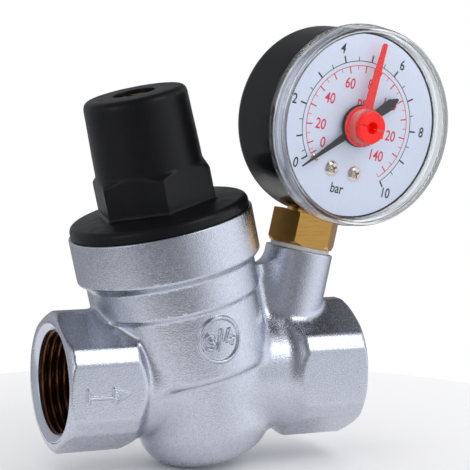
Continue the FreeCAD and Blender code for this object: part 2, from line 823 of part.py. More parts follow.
def pillars():
    """Three shouldered pillars; the lower two are studded into the socket's block."""
    solids = []
    for k, (x, y) in enumerate(PILLARS):
        stud_bottom = 0.6 if k < 2 else BLOCK_FRONT - 0.6
        shape = turned(
            (0, stud_bottom),
            (1.4, stud_bottom),
            (1.4, BLOCK_FRONT + PLATE),
            (2.0, BLOCK_FRONT + PLATE),
            (2.0, DIAL_BACK - PLATE),
            (0, DIAL_BACK - PLATE),
        )
        shape = shape.cut(rod(1.15, DIAL_BACK - PLATE - 3.4, DIAL_BACK))
        shape.translate(V(x, y, 0))
        solids.append(shape)
    return Part.makeCompound(solids)


def dial_screws():
    """Two domed cross-recess screws that hold the dial on the movement."""
    solids = []
    for x, y in PILLARS[:2]:
        screw = turned(
            (0, DIAL_BACK - PLATE - 3.0),
            (1.1, DIAL_BACK - PLATE - 3.0),
            (1.1, DIAL_FACE),
            (1.85, DIAL_FACE),
            (1.85, DIAL_FACE + 0.2),
            ((1.1, DIAL_FACE + 0.68), (0, DIAL_FACE + 0.85)),
        )
        for turn in (30, 120):
            screw = screw.cut(spin(box(-1.05, 1.05, -0.3, 0.3, DIAL_FACE - 0.3, 20), turn))
        screw.translate(V(x, y, 0))
        solids.append(screw)
    return Part.makeCompound(solids)


def case_screws():
    solids = []
    for x in (-4.4, 4.4):
        screw = turned(
            (0, CASE_BACK - 1.2),
            (2.2, CASE_BACK - 1.2),
            (2.4, CASE_BACK - 1.0),
            (2.4, CASE_BACK),
            (1.2, CASE_BACK),
            (1.2, CASE_BACK + 3.3),
            (0, CASE_BACK + 3.3),
        )
        screw = screw.cut(box(-3, 3, -0.35, 0.35, CASE_BACK - 2, CASE_BACK - 0.5))
        screw.translate(V(x, -17.8, 0))
        solids.append(screw)
    return Part.makeCompound(solids)


def case_cup(radius, back, edge, front):
    """Solid cup shape with a rounded back edge."""
    return turned(
        (0, back),
        (radius - edge, back),
        round_corner(radius - edge, back + edge, edge, -90, 0),
        (radius, front),
        (0, front),
    )


def gauge_case():
    """Drawn steel cup with holes for the socket's neck and the two screws behind."""
    outside = case_cup(CASE_R, CASE_BACK, CASE_EDGE_R, CASE_FRONT)
    inside = case_cup(CASE_R - CASE_WALL, CASE_BACK + CASE_WALL, CASE_EDGE_R - CASE_WALL, CASE_FRONT + 1)
    case = outside.cut(inside)
    neck_hole = placed(rod(5.15, -CASE_R - 3, -CASE_R + 5), turn_about(V(1, 0, 0), -90))
    case = case.cut(neck_hole)
    for x in (-4.4, 4.4):
        case = case.cut(rod(1.35, CASE_BACK - 1, CASE_BACK + 2, x, -17.8))
    return case


def dial():
    plate = rod(DIAL_R, DIAL_BACK, DIAL_FACE).cut(rod(1.6, 0, 20))
    for x, y in PILLARS[:2]:
        plate = plate.cut(rod(1.25, 0, 20, x, y))
    pin_x, pin_y = dial_point(14.0, POINTER_REST - 1.5)
    return plate.cut(rod(0.55, 0, 20, pin_x, pin_y))


def dial_point(radius, clockwise):
    """Point on the dial at an angle measured clockwise from straight up."""
    angle = math.radians(clockwise)
    return radius * math.sin(angle), radius * math.cos(angle)


def stop_pin():
    """Riveted stud under the pointer, with the peg that it rests against."""
    pin_x, pin_y = dial_point(14.0, POINTER_REST - 1.5)
    stud = turned(
        (0, DIAL_BACK - 0.4),
        (0.5, DIAL_BACK - 0.4),
        (0.5, DIAL_FACE),
        (0.95, DIAL_FACE),
        (0.95, DIAL_FACE + 0.3),
        ((0.6, DIAL_FACE + 0.52), (0, DIAL_FACE + 0.6)),
    )
    stud.translate(V(pin_x, pin_y, 0))
    peg_x, peg_y = dial_point(14.0, POINTER_REST - 4.6)
    return stud.fuse(rod(0.3, DIAL_FACE + 0.1, 15.1, peg_x, peg_y)).removeSplitter()


def pointer():
    """Pressed blade with a round hub and a broad, pointed tail, drawn pointing up."""
    bottom, top = POINTER_BACK, POINTER_BACK + 0.35
    blade = polygon([(-0.95, 3.5), (-0.12, 18.3), (0.12, 18.3), (0.95, 3.5)], bottom, top)
    tail = polygon(
        [(-1.0, -3.5), (-1.35, -10.0), (-0.25, -12.4)] + [(0.25, -12.4), (1.35, -10.0), (1.0, -3.5)],
        bottom,
        top,
    )
    hub = rod(5.1, bottom, top).fuse(rod(1.9, bottom, top + 0.2))
    whole = hub.fuse([blade, tail]).removeSplitter().cut(rod(0.82, 0, 20))
    return spin(whole, -POINTER_REST)


def gauge_window():
    """Clear snap-on cover: pane with a raised collar, stepped rim and skirt over the case."""
    cover = turned(
        (2.5, WINDOW_PANE),
        (22.2, WINDOW_PANE),
        (22.2, CASE_FRONT + 0.05),
        (CASE_R + FIT, CASE_FRONT + 0.05),
        (CASE_R + FIT, WINDOW_BACK),
        (WINDOW_R - 0.3, WINDOW_BACK),
        (WINDOW_R, WINDOW_BACK + 0.3),
        (WINDOW_R, WINDOW_BACK + 1.0),
        (WINDOW_R - 0.5, WINDOW_FRONT - 0.5),
        round_corner(WINDOW_R - 1.0, WINDOW_FRONT - 0.5, 0.5, 0, 90),
        (22.9, WINDOW_FRONT),
        (22.5, WINDOW_FRONT - 0.35),
        (20.0, WINDOW_FRONT - 0.1),
        (4.3, WINDOW_FRONT - 0.1),
        (4.1, WINDOW_FRONT + 0.9),
        (2.5, WINDOW_FRONT + 0.9),
    )
    return cover


def set_hub():
    """Split red button in the window's hole, with a finger hole and two slots."""
    face, back = 20.15, WINDOW_FRONT + 0.95
    hub = turned(
        (0, WINDOW_PANE - 1.0),
        (2.1, WINDOW_PANE - 1.0),
        (2.4, WINDOW_PANE - 0.8),
        (2.4, back),
        (3.5, back),
        (3.72, back + 0.3),
        (3.72, face - 0.15),
        (3.5, face),
        (1.45, face),
        (1.3, face - 2.4),
        (0, face - 2.4),
    )
    slot = box(-5, 5, -0.22, 0.22, face - 1.3, face + 1)
    return spin(hub.cut(slot), -SET_POINTER_REST)


def set_arm():
    """Red arm behind the pane, drawn pointing up, clipped on the button's stem."""
    bottom, top = WINDOW_PANE - 0.85, WINDOW_PANE - 0.1
    disc = rod(4.9, bottom, top)
    arm = polygon([(-1.25, 3), (-0.55, 19.9), (0.55, 19.9), (1.25, 3)], bottom + 0.1, top - 0.05)
    arm = arm.fuse(rod(0.55, bottom + 0.1, top - 0.05, 0, 19.9))
    return spin(disc.fuse(arm).removeSplitter().cut(rod(2.4 + FIT, 0, 30)), -SET_POINTER_REST)


# ---- write every piece ----

os.makedirs("parts", exist_ok=True)

save("valve_body", valve_body())
save("bonnet", on_cartridge(bonnet()))
save("screw_bush", on_cartridge(ring(BUSH_R, SCREW_R + FIT, SPRING_ROOM_TOP, BUSH_TOP)))
save("adjusting_screw", on_cartridge(adjusting_screw()))
save("spring_seat", on_cartridge(spring_seat()))
save("main_spring", on_cartridge(main_spring()))
save_core()
save("seat_cage", on_cartridge(seat_cage()))
save("cage_seal_ring", on_cartridge(seal_ring(9.65, 2.7, 0.88)))
save("lower_guide", on_cartridge(lower_guide()))
save("strainer", on_cartridge(ring(9.4, 9.0 + FIT, -14.8, 0.3)))

save("sealing_washer", on_boss(ring(7.3, SOCKET_SHANK_R + 0.15, BOSS_TOP, BOSS_TOP + 1.0)))
save("gauge_socket", on_dial(gauge_socket()))
save("gauge_case", on_dial(gauge_case()))
save("case_screws", on_dial(case_screws()))
save("bourdon_tube", on_dial(bourdon_tube()))
save("tube_tip", on_dial(tube_tip()))
save("link", on_dial(link()))
save("sector_gear", on_dial(sector_gear()))
save("pinion", on_dial(pinion()))
save("hairspring", on_dial(hairspring()))
save("movement_back_plate", on_dial(back_plate()))
save("movement_front_plate", on_dial(front_plate()))
save("movement_pillars", on_dial(pillars()))
save("dial", on_dial(dial()))
save("dial_screws", on_dial(dial_screws()))
save("stop_pin", on_dial(stop_pin()))
save("pointer", on_dial(pointer()))
save("gauge_window", on_dial(gauge_window()))
save("set_pointer_hub", on_dial(set_hub()))
save("set_pointer_arm", on_dial(set_arm()))
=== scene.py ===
import json
import math

import bmesh
import bpy
import numpy as np
from mathutils import Matrix, Vector


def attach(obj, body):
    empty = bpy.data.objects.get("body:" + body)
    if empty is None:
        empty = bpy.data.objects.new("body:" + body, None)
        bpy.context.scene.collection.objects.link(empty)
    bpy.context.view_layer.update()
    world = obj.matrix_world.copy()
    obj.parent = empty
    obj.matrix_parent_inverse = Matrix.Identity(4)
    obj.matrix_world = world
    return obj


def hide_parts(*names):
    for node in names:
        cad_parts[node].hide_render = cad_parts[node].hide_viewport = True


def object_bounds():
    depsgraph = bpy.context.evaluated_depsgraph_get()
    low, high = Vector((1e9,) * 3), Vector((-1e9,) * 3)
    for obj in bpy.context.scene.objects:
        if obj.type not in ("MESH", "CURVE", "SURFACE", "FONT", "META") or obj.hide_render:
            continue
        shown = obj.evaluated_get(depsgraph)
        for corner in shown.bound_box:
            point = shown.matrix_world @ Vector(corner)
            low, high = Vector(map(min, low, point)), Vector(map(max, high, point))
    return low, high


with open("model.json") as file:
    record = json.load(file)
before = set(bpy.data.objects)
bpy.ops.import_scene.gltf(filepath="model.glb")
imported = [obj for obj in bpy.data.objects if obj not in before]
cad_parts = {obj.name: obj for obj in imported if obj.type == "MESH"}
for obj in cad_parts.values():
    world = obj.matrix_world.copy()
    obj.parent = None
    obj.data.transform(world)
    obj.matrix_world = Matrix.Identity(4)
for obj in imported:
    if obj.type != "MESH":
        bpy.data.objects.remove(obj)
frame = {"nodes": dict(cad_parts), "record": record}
cad_low, cad_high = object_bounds()

bl_info = {
    "name": "Pressure Reducing Valve",
    "version": (1, 0, 0),
    "blender": (4, 5, 0),
    "location": "View3D > Sidebar > Reducing Valve",
    "description": "Dresses the packed valve: casting, threads, bonnet, dial print, window and finishes",
    "category": "Add Mesh",
}

MM = 0.001

# ---- the valve's axes, in millimetres of the row frame ----
CROSSING_X = 34.0           # where the leaning bore crosses the port axis
BORE_LEAN = math.radians(-13.1)
BOSS_X = 56.1
BOSS_LEAN = math.radians(11.8)
DIAL_HEIGHT = 62.3
DIAL_TURN = math.radians(6.2)
BORE_FRAME = Matrix.Translation((CROSSING_X, 0, 0)) @ Matrix.Rotation(BORE_LEAN, 4, "Y")
BOSS_FRAME = Matrix.Translation((BOSS_X, 0, 0)) @ Matrix.Rotation(BOSS_LEAN, 4, "Y")
DIAL_FRAME = (
    BOSS_FRAME
    @ Matrix.Translation((0, 0, DIAL_HEIGHT))
    @ Matrix.Rotation(DIAL_TURN, 4, "Z")
    @ Matrix.Rotation(math.radians(90), 4, "X")
)

# ---- casting ----
INLET_FACE = -1.7
OUTLET_FACE = 74.3
INLET_HEX = 18.4
OUTLET_HEX = 17.8
HALF_FLATS = 15.55
HALF_CORNER_FLATS = 16.8
FACE_R = 15.6
NECK_R = 14.6
MOUTH_R = 14.2              # hole left in the casting for the machined mouth
THREAD_DEPTH = 15.7
SHIELD_R = 19.6
SHIELD_BOTTOM = 1.6
MIDDLE_STEP = 0.8
RIM_STEP = 1.8
RIM_TOP = 38.5
EMBLEM_HEIGHT_ON_BORE = 11.65
EMBLEM_TURN = math.radians(5.0)

# ---- dial ----
DIAL_FACE = 13.45
PRINT_LIFT = 0.003          # gap between the lacquer and the print
PSI_PER_BAR = 14.5
ZERO_BAR = -128.4
BAR_STEP = 27.7
FIVE_BAR = 1.7


# ---- colours ----

def linear(code):
    """Linear RGBA of an sRGB hex code."""
    parts = [int(code[i:i + 2], 16) / 255 for i in (1, 3, 5)]
    return tuple(c / 12.92 if c <= 0.04045 else ((c + 0.055) / 1.055) ** 2.4 for c in parts) + (1.0,)


def colour_property(name, description, code):
    return bpy.props.FloatVectorProperty(
        name=name, description=description, size=4, subtype="COLOR", min=0, max=1, default=linear(code)
    )


def length_property(name, description, millimetres):
    return bpy.props.FloatProperty(
        name=name, description=description, unit="LENGTH", min=0, precision=5, default=millimetres * MM
    )


class CastingSizes(bpy.types.PropertyGroup):
    mesh_step: length_property("Mesh step", "Spacing of the casting's mesh before it is refined", 0.7)
    grain: length_property(
        "Blast grain", "Spacing of the pits left by bead blasting, coarse enough to show", 0.33
    )
    fillet: length_property("Fillet", "Reach of the cast fillets between the bands and the necks", 1.5)
    emblem_radius: length_property("Emblem radius", "Centre radius of the ring round the size mark", 5.2)
    emblem_width: length_property("Raised line width", "Width of the raised ring, size mark and arrow", 0.85)
    emblem_height: length_property("Raised height", "How far the cast marks stand proud", 0.6)
    thread_pitch: length_property("Thread pitch", "14 threads to the inch, as on 3/4 inch pipe", 1.814)
    thread_depth: length_property("Thread depth", "From the crest to the root of the pipe thread", 1.16)


class GaugeSizes(bpy.types.PropertyGroup):
    figure_height: length_property("Figure height", "Height of the dial's figures", 2.6)
    arc_radius: length_property("Bar arc radius", "Radius of the black arc under the bar scale", 15.4)
    psi_radius: length_property("psi arc radius", "Radius of the red arc under the psi scale", 14.3)
    ink: length_property("Ink thickness", "Thickness of the screen print", 0.02)
    window_radius: length_property("Window radius", "Outer radius of the snap-on window", 24.25)


class FinishColours(bpy.types.PropertyGroup):
    chrome: colour_property("Chrome plate", "Satin chromium over nickel", "#CDD1DC")
    nylon: colour_property("Black nylon", "Moulded bonnet", "#0C0C0E")
    brass: colour_property("Brass", "Machined free-cutting brass", "#EDB866")
    # Brass darkened to brown: painted shade of the thread deep inside the port, not the colour of raw brass.
    tapped: colour_property("Raw brass", "Unplated thread inside the ports", "#6E4A33")
    enamel: colour_property("Black enamel", "Stoved enamel of the gauge's case", "#08080A")
    lacquer: colour_property("Dial white", "Lacquered dial plate", "#DDE3F3")
    black_ink: colour_property("Black ink", "Bar scale and pointer", "#12151A")
    red_ink: colour_property("Red ink", "psi scale", "#E0203C")
    red: colour_property("Red acetal", "Set pointer", "#FF1408")
    washer: colour_property("Natural nylon", "Sealing washer", "#E8EBEE")


# ---- shader nodes ----

def add_node(tree, kind, settings=None, inputs=None):
    """Adds a node with its settings; an input is given a value or linked to a socket."""
    node = tree.nodes.new(kind)
    for name, value in (settings or {}).items():
        setattr(node, name, value)
    for name, value in (inputs or {}).items():
        if isinstance(value, bpy.types.NodeSocket):
            tree.links.new(value, node.inputs[name])
        else:
            node.inputs[name].default_value = value
    return node


def start_finish(name, colour, metallic, roughness, ior=None):
    """New material with its principled shader set; returns material, tree, shader and place socket."""
    material = bpy.data.materials.new(name)
    material.use_nodes = True
    tree = material.node_tree
    shader = tree.nodes["Principled BSDF"]
    shader.inputs["Base Color"].default_value = tuple(colour)
    shader.inputs["Metallic"].default_value = metallic
    shader.inputs["Roughness"].default_value = roughness
    if ior:
        shader.inputs["IOR"].default_value = ior
    place = add_node(tree, "ShaderNodeTexCoord").outputs["Object"]
    return material, tree, shader, place


def per_metre(millimetres):
    """Noise scale that gives features of about this size."""
    return 1000.0 / millimetres


def grain(tree, shader, place, size, height, strength=1.0, detail=2.0, after=None):
    """Fine bumps of a given size and height, both in millimetres, feeding the shader's normal."""
    noise = add_node(
        tree, "ShaderNodeTexNoise", None,
        {"Vector": place, "Scale": per_metre(size), "Detail": detail, "Roughness": 0.6},
    )
    inputs = {"Height": noise.outputs["Fac"], "Distance": height * MM, "Strength": strength}
    if after is not None:
        inputs["Normal"] = after
    bump = add_node(tree, "ShaderNodeBump", None, inputs)
    tree.links.new(bump.outputs["Normal"], shader.inputs["Normal"])
    return noise.outputs["Fac"], bump.outputs["Normal"]


def vary_roughness(tree, shader, place, size, low, high):
    """Patches of a given size in millimetres that are smoother or rougher."""
    noise = add_node(
        tree, "ShaderNodeTexNoise", None, {"Vector": place, "Scale": per_metre(size), "Detail": 3.0}
    )
    spread = add_node(
        tree, "ShaderNodeMapRange", None,
        {"Value": noise.outputs["Fac"], "From Min": 0.3, "From Max": 0.7, "To Min": low, "To Max": high},
    )
    tree.links.new(spread.outputs["Result"], shader.inputs["Roughness"])
    return noise.outputs["Fac"]


def vary_colour(tree, shader, factor, first, second, low=0.3, high=0.7):
    """Runs the base colour between two colours along a factor."""
    ramp = add_node(tree, "ShaderNodeValToRGB", None, {"Fac": factor})
    ramp.color_ramp.elements[0].position = low
    ramp.color_ramp.elements[1].position = high
    ramp.color_ramp.elements[0].color = tuple(first)
    ramp.color_ramp.elements[1].color = tuple(second)
    tree.links.new(ramp.outputs["Color"], shader.inputs["Base Color"])


def shade(colour, share):
    """A colour made darker or lighter by a share."""
    return tuple(min(1.0, c * share) for c in tuple(colour)[:3]) + (1.0,)


# ---- finishes ----

def blasted_chrome(colours, sizes):
    # Chromium over a bead-blasted casting: a cool, sparkling satin that still mirrors lights softly.
    material, tree, shader, place = start_finish("blasted_chrome_plate", colours.chrome, 1.0, 0.24)
    _, wave = grain(tree, shader, place, 3.2, 0.05, 0.6, 1.0)
    speck, _ = grain(tree, shader, place, sizes.grain / MM, 0.06, 1.0, 2.0, wave)
    vary_roughness(tree, shader, place, 1.1, 0.18, 0.3)
    vary_colour(tree, shader, speck, shade(colours.chrome, 0.82), colours.chrome, 0.35, 0.6)
    return material


def turned_chrome(colours):
    # Chromium over a face cut on the lathe: smoother than the casting, so it shows brighter edges.
    material, tree, shader, place = start_finish("turned_chrome_plate", colours.chrome, 1.0, 0.2)
    grain(tree, shader, place, 0.5, 0.01)
    vary_roughness(tree, shader, place, 2.0, 0.16, 0.24)
    return material


def tapped_brass(colours):
    # Brass cut by the tap and never plated. Its colour is darkened to a warm brown, which is painted shade
    # for the inside of the port.
    material, tree, shader, place = start_finish("raw_brass_painted_shade", colours.tapped, 1.0, 0.34)
    speck, _ = grain(tree, shader, place, 0.5, 0.02)
    vary_colour(tree, shader, speck, shade(colours.tapped, 0.6), colours.tapped)
    return material


def moulded_nylon(colours):
    # Glass-filled nylon from a spark-eroded mould: black with a low, slightly broken gloss.
    material, tree, shader, place = start_finish("moulded_glass_filled_nylon", colours.nylon, 0.0, 0.4, 1.53)
    shader.inputs["Specular IOR Level"].default_value = 0.2
    speck, _ = grain(tree, shader, place, 0.4, 0.012)
    vary_roughness(tree, shader, place, 2.5, 0.28, 0.4)
    vary_colour(tree, shader, speck, shade(colours.nylon, 0.8), shade(colours.nylon, 1.3))
    return material


def machined_brass(name, colours, line, roughness):
    # Free-cutting brass with the fine lines that the tool leaves round it: warm yellow, soft gloss.
    material, tree, shader, place = start_finish(name, colours.brass, 1.0, roughness)
    stretched = add_node(
        tree, "ShaderNodeMapping", {"vector_type": "POINT"}, {"Vector": place, "Scale": (0.08, 0.08, 1.0)}
    )
    noise = add_node(
        tree, "ShaderNodeTexNoise", None,
        {"Vector": stretched.outputs["Vector"], "Scale": per_metre(line), "Detail": 2.0},
    )
    bump = add_node(tree, "ShaderNodeBump", None, {"Height": noise.outputs["Fac"], "Distance": 0.02 * MM})
    tree.links.new(bump.outputs["Normal"], shader.inputs["Normal"])
    vary_colour(tree, shader, noise.outputs["Fac"], shade(colours.brass, 0.85), shade(colours.brass, 1.05))
    return material


def baked_enamel(colours):
    # Stoved enamel on drawn steel: deep black, glossy, with a faint orange peel.
    material, tree, shader, place = start_finish("baked_black_enamel", colours.enamel, 0.0, 0.25, 1.5)
    shader.inputs["Specular IOR Level"].default_value = 0.2
    grain(tree, shader, place, 1.2, 0.006)
    vary_roughness(tree, shader, place, 4.0, 0.12, 0.22)
    return material


def dial_lacquer(colours):
    # White stoving lacquer on sheet aluminium: even, eggshell white with a cool cast.
    material, tree, shader, place = start_finish("white_stoved_lacquer", colours.lacquer, 0.0, 0.4, 1.5)
    speck, _ = grain(tree, shader, place, 0.8, 0.003)
    vary_colour(tree, shader, speck, shade(colours.lacquer, 0.97), colours.lacquer)
    return material


def screen_ink(name, colour):
    # Screen-printed ink: thin and matt, with a little unevenness in its cover.
    material, tree, shader, place = start_finish(name, colour, 0.0, 0.55, 1.5)
    speck, _ = grain(tree, shader, place, 0.3, 0.004)
    vary_colour(tree, shader, speck, shade(colour, 0.9), shade(colour, 1.1))
    return material


def clear_plastic(name, roughness, flat):
    # Injection-moulded polycarbonate: clear, with soft edge reflections. Shadow rays pass so the dial is lit.
    material, tree, shader, place = start_finish(name, linear("#F4F7FA"), 0.0, roughness, 1.585)
    shader.inputs["Transmission Weight"].default_value = 1.0
    grain(tree, shader, place, 6.0, 0.004)
    see_through = add_node(tree, "ShaderNodeBsdfTransparent", None, {"Color": (0.96, 0.97, 0.98, 1.0)})
    if flat:
        # Only the outer side reflects: the pane lets light out again at every angle.
        rim = add_node(tree, "ShaderNodeFresnel", None, {"IOR": 1.585})
        side = add_node(tree, "ShaderNodeNewGeometry")
        outer = add_node(
            tree, "ShaderNodeMath", {"operation": "SUBTRACT"}, {0: 1.0, 1: side.outputs["Backfacing"]}
        )
        once = add_node(
            tree, "ShaderNodeMath", {"operation": "MULTIPLY"},
            {0: rim.outputs["Fac"], 1: outer.outputs["Value"]},
        )
        gloss = add_node(
            tree, "ShaderNodeBsdfGlossy", None, {"Roughness": roughness, "Color": (0.6, 0.6, 0.62, 1)}
        )
        factor, front = once.outputs["Value"], gloss.outputs["BSDF"]
    else:
        rays = add_node(tree, "ShaderNodeLightPath")
        keep = add_node(
            tree, "ShaderNodeMath", {"operation": "SUBTRACT"}, {0: 1.0, 1: rays.outputs["Is Shadow Ray"]}
        )
        thin = add_node(
            tree, "ShaderNodeMath", {"operation": "MULTIPLY"}, {0: keep.outputs["Value"], 1: 0.7}
        )
        factor, front = thin.outputs["Value"], shader.outputs["BSDF"]
    mix = add_node(
        tree, "ShaderNodeMixShader", None, {"Fac": factor, 1: see_through.outputs["BSDF"], 2: front}
    )
    tree.links.new(mix.outputs["Shader"], tree.nodes["Material Output"].inputs["Surface"])
    return material


def red_acetal(colours):
    # Moulded acetal: saturated red that light enters a little, with a clean gloss.
    material, tree, shader, place = start_finish("moulded_red_acetal", colours.red, 0.0, 0.28, 1.48)
    shader.inputs["Subsurface Weight"].default_value = 0.25
    shader.inputs["Subsurface Radius"].default_value = (0.8 * MM, 0.2 * MM, 0.1 * MM)
    shader.inputs["Subsurface Scale"].default_value = 1.0
    grain(tree, shader, place, 0.8, 0.004)
    vary_roughness(tree, shader, place, 1.5, 0.22, 0.34)
    return material


def pointer_lacquer(colours):
    # Black lacquer on thin aluminium: dark slate, satin.
    slate = colours.black_ink
    material, tree, shader, place = start_finish("black_lacquered_aluminium", slate, 0.0, 0.38, 1.5)
    grain(tree, shader, place, 0.5, 0.004)
    vary_roughness(tree, shader, place, 1.5, 0.3, 0.45)
    return material


def nickel_plate():
    # Bright nickel: a warm mirror with faint handling marks.
    material, tree, shader, place = start_finish("bright_nickel_plate", linear("#EFE4D6"), 1.0, 0.24)
    grain(tree, shader, place, 0.6, 0.006)
    vary_roughness(tree, shader, place, 0.9, 0.18, 0.32)
    return material


def natural_nylon(colours):
    # Unpigmented nylon washer: milky, letting light a little way in.
    material, tree, shader, place = start_finish("natural_nylon", colours.washer, 0.0, 0.35, 1.53)
    shader.inputs["Transmission Weight"].default_value = 0.35
    shader.inputs["Subsurface Weight"].default_value = 0.4
    shader.inputs["Subsurface Radius"].default_value = (1.0 * MM, 1.0 * MM, 1.0 * MM)
    shader.inputs["Subsurface Scale"].default_value = 1.0
    grain(tree, shader, place, 0.7, 0.01)
    return material


def plain_metal(name, code, roughness, size, height):
    # Steel and bronze pieces inside: plated, drawn or rolled, each with a grain of its own size.
    material, tree, shader, place = start_finish(name, linear(code), 1.0, roughness)
    speck, _ = grain(tree, shader, place, size, height)
    vary_colour(tree, shader, speck, shade(linear(code), 0.85), linear(code))
    return material


def nitrile_rubber():
    # Moulded nitrile: matt black with a dusty bloom.
    material, tree, shader, place = start_finish("moulded_nitrile_rubber", linear("#1A1A1B"), 0.0, 0.75, 1.52)
    speck, _ = grain(tree, shader, place, 0.5, 0.02)
    vary_colour(tree, shader, speck, linear("#161617"), linear("#222224"))
    return material


def dress(piece, material):
    piece.data.materials.clear()
    piece.data.materials.append(material)


# ---- fields: signed distances in millimetres, negative inside ----

def ease(value, start, end):
    t = np.clip((value - start) / (end - start), 0, 1)
    return t * t * (3 - 2 * t)


def join(a, b, reach):
    """Union of two fields with a fillet of this reach."""
    h = np.clip(0.5 + 0.5 * (b - a) / reach, 0, 1)
    return b + (a - b) * h - reach * h * (1 - h)


def meet(a, b, reach):
    """Intersection of two fields with its edge eased."""
    return -join(-a, -b, reach)


def local(points, placing):
    """Points of the row frame seen from a placed frame, as three columns."""
    back = np.array(placing.inverted())
    moved = points @ back[:3, :3].T + back[:3, 3]
    return moved[:, 0], moved[:, 1], moved[:, 2]


def strokes(a, b, lines):
    """Distance to a set of line segments drawn on a surface."""
    best = np.full(a.shape, 1e3)
    for (x0, y0), (x1, y1) in lines:
        dx, dy = x1 - x0, y1 - y0
        t = np.clip(((a - x0) * dx + (b - y0) * dy) / (dx * dx + dy * dy), 0, 1)
        best = np.minimum(best, np.hypot(a - x0 - t * dx, b - y0 - t * dy))
    return best


def bow(x, y, radius_x, radius_y, start, end, pieces=7):
    """Short lines along part of an ellipse, between two angles in degrees."""
    angles = np.radians(np.linspace(start, end, pieces + 1))
    points = [(x + radius_x * math.cos(t), y + radius_y * math.sin(t)) for t in angles]
    return list(zip(points[:-1], points[1:]))


def size_mark():
    """Three quarters, drawn in single strokes about the emblem's centre."""
    three = bow(-2.55, 0.95, 0.85, 0.8, 150, -80) + bow(-2.55, -0.75, 0.95, 0.95, 85, -150)
    slash = [((-0.75, -2.1), (0.75, 2.1))]
    four = [((2.9, -1.6), (2.9, 1.7)), ((2.9, 1.7), (1.5, -0.6)), ((1.5, -0.6), (3.6, -0.6))]
    return three + slash + four


def flow_arrow():
    """Arrow along the inlet's front flat, in X and Z: tail bar, shaft and filled head."""
    shaft = [((2.5, -0.6), (8.6, -0.6)), ((2.5, -1.5), (2.5, 1.3))]
    head = [((8.7, edge), (12.3, 0)) for edge in (1.3, 0.5, -0.3, -1.1, -1.9)]
    return shaft + head + [((8.7, 1.3), (8.7, -1.9))]


def port_block(points, from_face, length, front_raise):
    """Twelve-sided port with its turned chamfers."""
    y, z = points[:, 1], points[:, 2]
    radius = np.hypot(y, z)
    wide = np.maximum(np.abs(y), 0.5 * np.abs(y) + 0.866 * np.abs(z)) - HALF_FLATS - front_raise
    narrow = np.maximum(0.866 * np.abs(y) + 0.5 * np.abs(z), np.abs(z)) - HALF_CORNER_FLATS
    outer = (0.74 * (radius - FACE_R) - from_face) / 1.244
    inner = (from_face - length + 1.25 * (radius - FACE_R)) / 1.6
    block = meet(wide, narrow, 0.3)
    block = meet(block, outer, 0.35)
    block = meet(block, inner, 0.5)
    return meet(block, -from_face, 0.3)


def port_room(points, from_face):
    """What is machined out of a port, from the mouth to the end of the thread."""
    radius = np.hypot(points[:, 1], points[:, 2])
    mouth = np.maximum(radius - MOUTH_R, from_face - 2.6)
    bore = np.maximum(radius - 13.6, from_face - THREAD_DEPTH)
    cone = np.maximum((radius - 9.6) * 0.6, from_face - THREAD_DEPTH - 1.2)
    return np.minimum(np.minimum(mouth, bore), cone)


def capsule(points, start, end, radius):
    start, end = np.array(start, float), np.array(end, float)
    run = end - start
    t = np.clip((points - start) @ run / (run @ run), 0, 1)
    return np.linalg.norm(points - start - t[:, None] * run, axis=1) - radius


def core_room(u, v, s):
    """Chambers bored on the leaning axis."""
    radius = np.hypot(u, v)
    steps = (
        (12.6, -18.0, 0.0), (10.6, -1.0, 6.0), (12.0, 5.5, 10.5), (14.5, 10.5, 24.0),
        (15.5, 23.5, 31.0), (19.2, 30.0, 40.0),
    )
    best = np.full(radius.shape, 1e3)
    for bore, low, high in steps:
        best = np.minimum(best, np.maximum(np.maximum(radius - bore, low - s), s - high))
    return best


